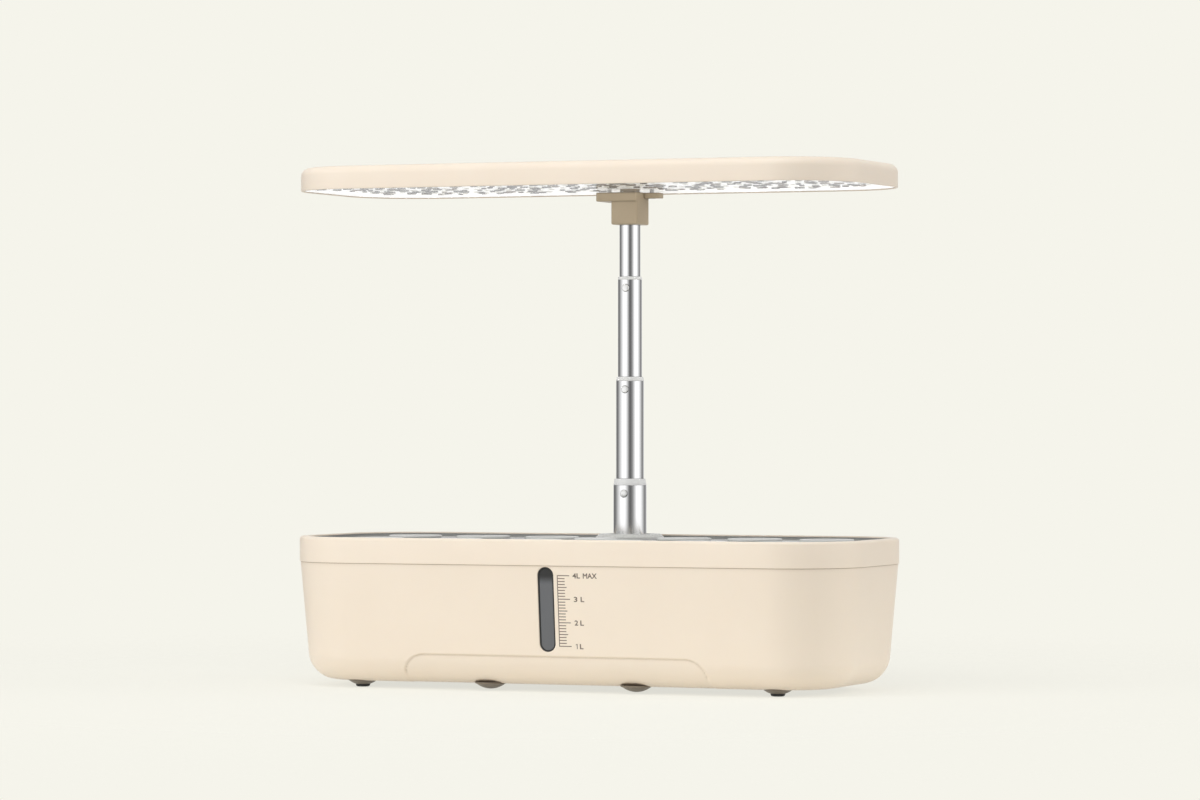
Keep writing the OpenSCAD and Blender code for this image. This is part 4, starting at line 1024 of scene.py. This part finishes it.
def collar_shape(k):
    low, high = TUBE_TOPS[k], TUBE_TOPS[k] + COLLAR_HS[k]
    bore = TUBE_DS[k + 1] / 2 + RUN_GAP
    spigot = TUBE_DS[k] / 2 - TUBE_WALLS[k] - 0.02
    corners = [(bore, low - COLLAR_SPIGOT), (spigot, low - COLLAR_SPIGOT), (spigot, low),
               (TUBE_DS[k] / 2, low), (TUBE_DS[k + 1] / 2 + COLLAR_LIP, high), (bore, high)]
    return turned(eased(corners, {0: 0.2, 1: 0.2, 3: 0.25, 4: 0.5, 5: 0.15}, 5), AXIS, 128)


def clip_button(k):
    """Domed button with a bright rim, turned about the Y axis."""
    z = TUBE_TOPS[k] - BUTTON_DROP
    inner = sqrt((TUBE_DS[k + 1] / 2 - TUBE_WALLS[k + 1]) ** 2 - (LEAF_W / 2) ** 2) - LEAF_GAP
    tip = TUBE_DS[k] / 2 + BUTTON_PROUD
    r = BUTTON_D / 2
    crown = 0.3
    outline = [(r * j / 8, tip - crown * (j / 8) ** 2) for j in range(8)]
    outline += [(r - 0.12, tip - crown - 0.05), (r, tip - crown - 0.3), (r, inner - 0.3), (0, inner - 0.3)]
    points, faces = turned(outline, (0, 0), 64)
    points = [(x, MAST_Y - height, z + y) for x, y, height in points]
    leaf = eased([(-LEAF_W / 2, z - LEAF_DOWN), (LEAF_W / 2, z - LEAF_DOWN), (LEAF_W / 2, z + LEAF_UP),
                  (-LEAF_W / 2, z + LEAF_UP)], 1.5, 5)
    leaf_rings = [[(x, MAST_Y - y, height) for x, height in leaf] for y in (inner, inner - LEAF_T)]
    return merged([(points, faces), skin(leaf_rings)])


steel = chrome()
collar_white = plain_finish("collar_white", (0.86, 0.86, 0.855), 0.32, spread=0.02, grain=0.08, IOR=1.5)
# The spring steel carries painted shade in its creases
clip_steel = plain_finish("clip_steel", (0.86, 0.86, 0.855), 0.30, spread=0.03, grain=0.05,
                          crease_shade=0.0009, Metallic=1.0)


def body_of(node):
    return frame["nodes"][node]["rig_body"]


for k in range(4):
    tube = make_piece(f"mast_tube_{k + 1}", tube_shape(k), steel)
    bores = [TUBE_TOPS[j] - BUTTON_DROP for j in (k, k - 1) if 0 <= j < 3]
    cut(tube, [rod_along_y(BUTTON_D + 2 * BUTTON_GAP, 0, z, MAST_Y - 20, MAST_Y) for z in bores])
    true_round(tube, AXIS)
    settle(tube, body_of(f"tube_{k + 1}"), "mast_steel", f"tube_{k + 1}")
    if k < 3:
        collar = make_piece(f"mast_collar_{k + 1}", collar_shape(k), collar_white)
        settle(collar, body_of(f"tube_{k + 1}"), "collar_plastic", f"collar_{k + 1}")
        button = make_piece(f"snap_button_{k + 1}", clip_button(k), clip_steel, 35)
        settle(button, body_of(f"snap_clip_{k + 1}"), "spring_steel", f"snap_clip_{k + 1}")

# The lamp's lead is coiled inside the tubes, and in the real garden the coil closes up as they slide together;
# here each coil on a slide only gets a mesh of its own
LEAD_COIL_D = 6.6
LEAD_D = 2.0
LEAD_SHIFT = 1.8
LEAD_PITCH = 2.6
LEAD_ENDS = (56.5, 115.2, 188.8, 260.4, 350.1)
SLIDES = ("tube_2_slide", "tube_3_slide", "tube_4_slide", None)
COIL_SIDES = 8
COIL_STEPS = 18


def coil_shape(low, high):
    """Closed helical cord between two heights."""
    r = (LEAD_COIL_D - LEAD_D) / 2
    low, high = low + LEAD_D / 2, high - LEAD_D / 2
    turns = max(1, round((high - low) / LEAD_PITCH))
    count = turns * COIL_STEPS
    rings = []
    for j in range(count + 1):
        a = 2 * pi * j / COIL_STEPS
        z = low + (high - low) * j / count
        centre = Vector((r * cos(a), MAST_Y + LEAD_SHIFT + r * sin(a), z))
        out = Vector((cos(a), sin(a), 0))
        rings.append([tuple(centre + (out * cos(b) + Vector((0, 0, 1)) * sin(b)) * LEAD_D / 2)
                      for b in (2 * pi * k / COIL_SIDES for k in range(COIL_SIDES))])
    return skin(rings)


for k in range(4):
    low, high = LEAD_ENDS[k], LEAD_ENDS[k + 1]
    coil = make_piece(f"coiled_lead_{k + 1}", coil_shape(low, high), black_rubber, 60)
    settle(coil, body_of(f"mast_lead_{k + 1}"), "lead_jacket", f"mast_lead_{k + 1}")
    if SLIDES[k]:
        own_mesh(coil)


# ---------------------------------------------------------------- head bracket
# A taupe moulding takes the top tube in its socket. One screw through its left wing and one
# through its rear tab hold it to the lamp, and a round spigot passes the lead.
SOCKET_W = 20
SOCKET_L = 23
SOCKET_Z = 323.4
LENS_Z = 346.1
BRACKET_FLANGE_T = 6.3
FLANGE_PROUD = 1.0
WING_L = 21.2
TAB_T = 3.9
TAB_W = 10
BRACKET_R = 1.5
BOARD_TOP = 350.1
SPIGOT_D = 14
SCREW_D = 3.0
SCREW_HEAD_D = 5.4
SCREW_HEAD_H = 2.0
LEFT_SCREW = (-(SOCKET_W / 2 + WING_L) / 2, MAST_Y)
RIGHT_SCREW = ((SOCKET_W / 2 + WING_L) / 2 - 1.5, MAST_Y + SOCKET_L / 2 - TAB_W / 2)
SCREW_SITES = (LEFT_SCREW, RIGHT_SCREW)
SCREW_PLATES = (BRACKET_FLANGE_T, TAB_T)
SCREW_CLEAR = 0.4


def block(x0, x1, y0, y1, z0, z1, corner, low_edge, high_edge):
    """Upright block with round corners and rounded lower and upper edges."""
    def ring(inset, z):
        r = max(0.15, corner - inset)
        points = []
        for cx, cy, start in ((x1, y1, 0), (x0, y1, pi / 2), (x0, y0, pi), (x1, y0, 3 * pi / 2)):
            mx = cx - (inset + r) * (1 if cx == x1 else -1)
            my = cy - (inset + r) * (1 if cy == y1 else -1)
            points += [(mx + r * cos(start + pi / 2 * k / 8), my + r * sin(start + pi / 2 * k / 8), z)
                       for k in range(9)]
        return points
    rings = [ring(low_edge * (1 - sin(a)), z0 + low_edge * (1 - cos(a))) for a in quarter(5)]
    rings += [ring(high_edge * (1 - cos(a)), z1 - high_edge * (1 - sin(a))) for a in quarter(5)]
    return skin(rings)


# The taupe carries painted shade in its creases, such as the line under the flange
taupe = plain_finish("taupe_plastic", (0.48, 0.385, 0.262), 0.36, spread=0.03, grain=0.18,
                     crease_shade=0.0015, IOR=1.48)
socket_front, socket_back = MAST_Y - SOCKET_L / 2, MAST_Y + SOCKET_L / 2
bracket = make_piece("lamp_bracket", block(-SOCKET_W / 2, SOCKET_W / 2, socket_front, socket_back,
                                           SOCKET_Z, LENS_Z, BRACKET_R, 1.2, 0.05), taupe)
cut(bracket, [
    block(-WING_L, SOCKET_W / 2 + 0.02, socket_front - FLANGE_PROUD, socket_back + 0.02,
          LENS_Z - BRACKET_FLANGE_T, LENS_Z, BRACKET_R, 0.9, 0.4),
    block(0, WING_L, socket_back - TAB_W, socket_back + 0.01,
          LENS_Z - TAB_T, LENS_Z, BRACKET_R, 0.7, 0.4),
    upright_rod(SPIGOT_D, 0, MAST_Y, LENS_Z - 1, BOARD_TOP + 2)], operation="UNION")
bores = [upright_rod(TUBE_DS[3] + 2 * RUN_GAP, 0, MAST_Y, SOCKET_Z - 1, TUBE_TOPS[3], 160),
         upright_rod(2 * (LEAD_COIL_D / 2 + LEAD_SHIFT) + 0.4, 0, MAST_Y, SOCKET_Z, BOARD_TOP + 3)]
bores += [upright_rod(SCREW_D + SCREW_CLEAR, *site, SOCKET_Z, LENS_Z + 1) for site in SCREW_SITES]
bores += [upright_rod(SCREW_HEAD_D + SCREW_CLEAR, *site, LENS_Z - plate - 1, LENS_Z - plate / 2)
          for site, plate in zip(SCREW_SITES, SCREW_PLATES)]
cut(bracket, bores, 35)
settle(bracket, body_of("head_bracket"), "taupe_plastic", "head_bracket")

# Pan-head screws with a cross recess, seen from below
CROSS_ARM = (1.5, 0.32)
LAMP_TOP = 361.8
LAMP_WALL = 2.0


def screw_shape(site, seat):
    tip = LAMP_TOP - LAMP_WALL - 3
    r = SCREW_HEAD_D / 2
    crown = seat - SCREW_HEAD_H
    outline = [(0, crown), (r * 0.35, crown + 0.04), (r * 0.7, crown + 0.25), (r * 0.92, crown + 0.7),
               (r, crown + 1.2), (r, seat), (SCREW_D / 2, seat), (SCREW_D / 2, tip - 1), (0, tip)]
    return turned(outline, site, 40)


def cross_recess(site, seat):
    x, y = site
    face = seat - SCREW_HEAD_H
    return [slab(x - half_x, x + half_x, y - half_y, y + half_y, face - 1, face + 1)
            for half_x, half_y in (CROSS_ARM, CROSS_ARM[::-1])]


screws = []
for site, plate in zip(SCREW_SITES, SCREW_PLATES):
    screw = make_piece("bracket_screw", screw_shape(site, LENS_Z - plate / 2), steel_screws)
    screws.append(cut(screw, cross_recess(site, LENS_Z - plate / 2), 30))
screw_pair = join(screws, "bracket_screw_pair")
settle(screw_pair, body_of("bracket_screws"), "screw_steel", "bracket_screws")


# ---------------------------------------------------------------- lamp
# The lamp is a shallow cream housing with the tank's own plan. A white board with its LEDs is
# screwed against its ledge, and a clear tray closes it from below.
LAMP_Z = 345.5
LAMP_INSET = 0.8
LAMP_EDGE = 6.0
LEDGE_W = 2.4
LEDGE_H = 3.0
LAMP_LIP_IN = 0.4
LAMP_LIP_OUT = 0.6
POST_D = 6
POST_SITES = [(x, y) for x in (-156, -78, 78, 156) for y in (-64, 64)]
SCREW_POST_D = 7
KEY_SITES = [(side * 11, 40) for side in (-1, 1)]
KEY_D = 9
KEY_GAP = 0.2

lamp_body = body_of("lamp_housing")
inner_r = LAMP_EDGE - LAMP_WALL
wall_in = LAMP_INSET + LAMP_WALL
turns = quarter(10)
housing_path = [(CAP_INSET, LAMP_TOP - LAMP_WALL)]
housing_path += [(LAMP_INSET + LAMP_EDGE - inner_r * cos(a), LAMP_TOP - LAMP_EDGE + inner_r * sin(a))
                 for a in reversed(turns)]
housing_path += [(wall_in, BOARD_TOP + LEDGE_H), (wall_in + LEDGE_W, BOARD_TOP + LEDGE_H),
                 (wall_in + LEDGE_W, BOARD_TOP), (wall_in, BOARD_TOP)]
housing_path += [(wall_in - LAMP_LIP_IN * (1 - cos(a)), LAMP_Z + LAMP_LIP_IN * (1 - sin(a)))
                 for a in turns[::2]]
housing_path += [(LAMP_INSET + LAMP_LIP_OUT * (1 - sin(a)), LAMP_Z + LAMP_LIP_OUT * (1 - cos(a)))
                 for a in turns[::2]]
housing_path += [(LAMP_INSET + LAMP_EDGE * (1 - cos(a)), LAMP_TOP - LAMP_EDGE * (1 - sin(a))) for a in turns]
housing_path += [(CAP_INSET, LAMP_TOP)]
housing = make_piece("lamp_shell", plan_solid(housing_path), cream)
cut(housing, [upright_rod(KEY_D + 2 * KEY_GAP, *site, LAMP_TOP - LAMP_WALL - 2, LAMP_TOP + 2)
              for site in KEY_SITES])
posts = [make_piece("post", upright_rod(d, *site, BOARD_TOP, LAMP_TOP - LAMP_WALL / 2, 32), cream)
         for d, sites in ((POST_D, POST_SITES), (SCREW_POST_D, SCREW_SITES)) for site in sites]
housing = join([housing] + posts, "lamp_shell")
settle(housing, lamp_body, "cream_plastic", "lamp_housing")

# The board, with its white solder mask, which glows faintly as painted light
BOARD_Z = 348.7
BOARD_INSET = LAMP_INSET + LAMP_WALL + 0.2
LENS_T = 1.4
board_white = plain_finish("board_white", (0.90, 0.90, 0.895), 0.22, spread=0.01, grain=0.05,
                           Emission_Color=(1, 1, 1, 1), Emission_Strength=0.45)
board_path = [(CAP_INSET, BOARD_Z), (BOARD_INSET + 0.15, BOARD_Z), (BOARD_INSET, BOARD_Z + 0.15),
              (BOARD_INSET, BOARD_TOP - 0.15), (BOARD_INSET + 0.15, BOARD_TOP), (CAP_INSET, BOARD_TOP)]


def head_bores(low, high):
    """Cutters for the bracket's spigot and screws through a layer of the lamp."""
    bores = [upright_rod(SPIGOT_D + 1, 0, MAST_Y, low - 2, high + 2)]
    return bores + [upright_rod(SCREW_D + SCREW_CLEAR, *site, low - 2, high + 2, 32) for site in SCREW_SITES]


board = make_piece("light_board", plan_solid(board_path), board_white)
cut(board, head_bores(BOARD_Z, BOARD_TOP))
settle(board, lamp_body, "board_white", "led_board")

# White tape round the clear tray's edge, in the board's glowing white: painted light that covers the shaded
# housing wall seen through the tray
TAPE_T = 0.12
tape_out = BOARD_INSET - TAPE_T - 0.02
tape = make_piece("edge_tape", plan_solid([
    (tape_out, LENS_Z + 0.1), (tape_out, BOARD_TOP - 0.1), (BOARD_INSET - 0.02, BOARD_TOP - 0.1),
    (BOARD_INSET - 0.02, LENS_Z + 0.1)], closed=True), board_white)
settle(tape, lamp_body, "board_white")

# LED packages: even rows of white ones, with warm, grey and dark parts scattered between them
LED_PITCH_X = 16.5
LED_PITCH_Y = 18
LED_ROWS = 9
LED_MARGIN = 9
LED_COLS = 2 * floor((HALF_L - BOARD_INSET - LED_MARGIN) / LED_PITCH_X) + 1
LED_W = 3.0
LED_H = 0.7
BRACKET_CLEAR = 22
PART_H = 1.0
PART_PITCH_X = 17
PART_PITCH_Y = 10.3
PART_ROWS = 16
PART_COLS = 2 * floor(HALF_L / PART_PITCH_X) + 1
PART_MARGIN = 3.5
PART_STRAY_X = 0.42
PART_STRAY_Y = 0.2
PART_KINDS = (1, 1, 2, 2, 2, 3, 3)
PART_WIDTHS = (3.2, 4.6, 5.8, 7.0)
PART_DEPTHS = (1.4, 2.6)
LED_CLEAR = 4.4
LED_FINISHES = [("led_white", (0.78, 0.76, 0.70)), ("led_dark", (0.010, 0.008, 0.010)),
                ("led_grey", (0.09, 0.085, 0.09)), ("led_warm", (0.22, 0.18, 0.16))]


def led_fits(x, y, margin):
    """True where a part keeps its margin to the board's edge and to the bracket."""
    along = max(abs(x) - (HALF_L - PLAN_R), 0)
    aside = max(abs(y) - (HALF_W - PLAN_R), 0)
    edge = PLAN_R - BOARD_INSET - margin
    return hypot(along, aside) < edge and hypot(x, y - MAST_Y) > BRACKET_CLEAR


def package(x, y, width, depth, height):
    """Package with a stepped lower face, standing down from the board."""
    def ring(inset, z):
        return [(x + sx * (width / 2 - inset), y + sy * (depth / 2 - inset), z)
                for sx, sy in ((-1, -1), (1, -1), (1, 1), (-1, 1))]
    return skin([ring(0, BOARD_Z), ring(0, BOARD_Z - height * 0.75), ring(0.3, BOARD_Z - height)])


def centred(place, count, pitch):
    """Where a place in a row of so many lies, with the row's middle at 0."""
    return (place - (count - 1) / 2) * pitch


led_groups = [[], [], [], []]
for i in range(LED_COLS):
    for j in range(LED_ROWS):
        x, y = centred(i, LED_COLS, LED_PITCH_X), centred(j, LED_ROWS, LED_PITCH_Y)
        if led_fits(x, y, LED_MARGIN):
            led_groups[0].append(package(x, y, LED_W, LED_W, LED_H))
scatter = Random(5)
for j in range(PART_ROWS):
    for i in range(PART_COLS):
        x = centred(i + scatter.uniform(-PART_STRAY_X, PART_STRAY_X), PART_COLS, PART_PITCH_X)
        y = centred(j + scatter.uniform(-PART_STRAY_Y, PART_STRAY_Y), PART_ROWS, PART_PITCH_Y)
        kind = scatter.choice(PART_KINDS)
        width = scatter.choice(PART_WIDTHS)
        near = hypot(x - round(x / LED_PITCH_X) * LED_PITCH_X, y - round(y / LED_PITCH_Y) * LED_PITCH_Y)
        if led_fits(x, y, PART_MARGIN) and near > LED_CLEAR:
            led_groups[kind].append(package(x, y, width, scatter.uniform(*PART_DEPTHS), PART_H))
for number, (name, colour) in enumerate(LED_FINISHES):
    finish = plain_finish(name, colour, 0.35, spread=0.3, scale=700.0)
    leds = make_piece(f"{name}_set", merged(led_groups[number]), finish, 20)
    settle(leds, lamp_body, "led_phosphor", *(["led_chips"] if number == 0 else []))


def clear_acrylic():
    """Clear acrylic that shows more of its own face where it is seen at a flat angle."""
    material, add, finish = new_material("clear_acrylic")
    haze = add_noise(add, add("TexCoord").outputs["Object"], 900.0, 2.0)
    slant = add("LayerWeight", {"Blend": 0.5}).outputs["Facing"]
    finish(add("BsdfPrincipled", {
        "Base Color": (0.98, 0.98, 0.985, 1), "Transmission Weight": 1.0, "IOR": 1.4,
        "Alpha": add_range(add, slant, 0.10, 0.26, 0.85, 0.97),
        "Roughness": add_range(add, haze, 0.02, 0.05)}))
    return material


lens_top = LENS_Z + LENS_T
lens_in = BOARD_INSET + LENS_T
lens = make_piece("lens_tray", plan_solid([
    (CAP_INSET, LENS_Z), (BOARD_INSET + 0.3, LENS_Z), (BOARD_INSET, LENS_Z + 0.3), (BOARD_INSET, BOARD_Z),
    (lens_in, BOARD_Z), (lens_in, lens_top), (CAP_INSET, lens_top)]), clear_acrylic())
cut(lens, head_bores(LENS_Z, lens_top))
settle(lens, lamp_body, "clear_lens", "lens_cover")


# ---------------------------------------------------------------- controls
# Two white push buttons stand in the lamp's top over a small board with their switches.
KEY_STEM = 2.4
KEY_PROUD = 0.5
KEY_FLANGE = 1
KEY_DISH = 0.35
for name, site in zip(("power", "timer"), KEY_SITES):
    low = LAMP_TOP - LAMP_WALL - KEY_STEM
    high = LAMP_TOP + KEY_PROUD
    flange = LAMP_TOP - LAMP_WALL - KEY_GAP / 2
    r, dish_r = KEY_D / 2, KEY_D / 2 - 1.2
    outline = [(0, low), (r, low), (r, flange - KEY_FLANGE), (r + KEY_FLANGE, flange - KEY_FLANGE),
               (r + KEY_FLANGE, flange), (r, flange), (r, high - 0.5), (r - 0.15, high - 0.15),
               (r - 0.5, high)]
    outline += [(dish_r * (1 - k / 6), high - KEY_DISH * (1 - (1 - k / 6) ** 2)) for k in range(7)]
    key = make_piece(f"{name}_key", turned(outline, site, 64), white_nylon, 50)
    settle(key, body_of(f"{name}_button"), "white_plastic", f"{name}_button")
board_green = plain_finish("board_green", (0.02, 0.12, 0.05), 0.3)
recoat(board_green, "control_board")
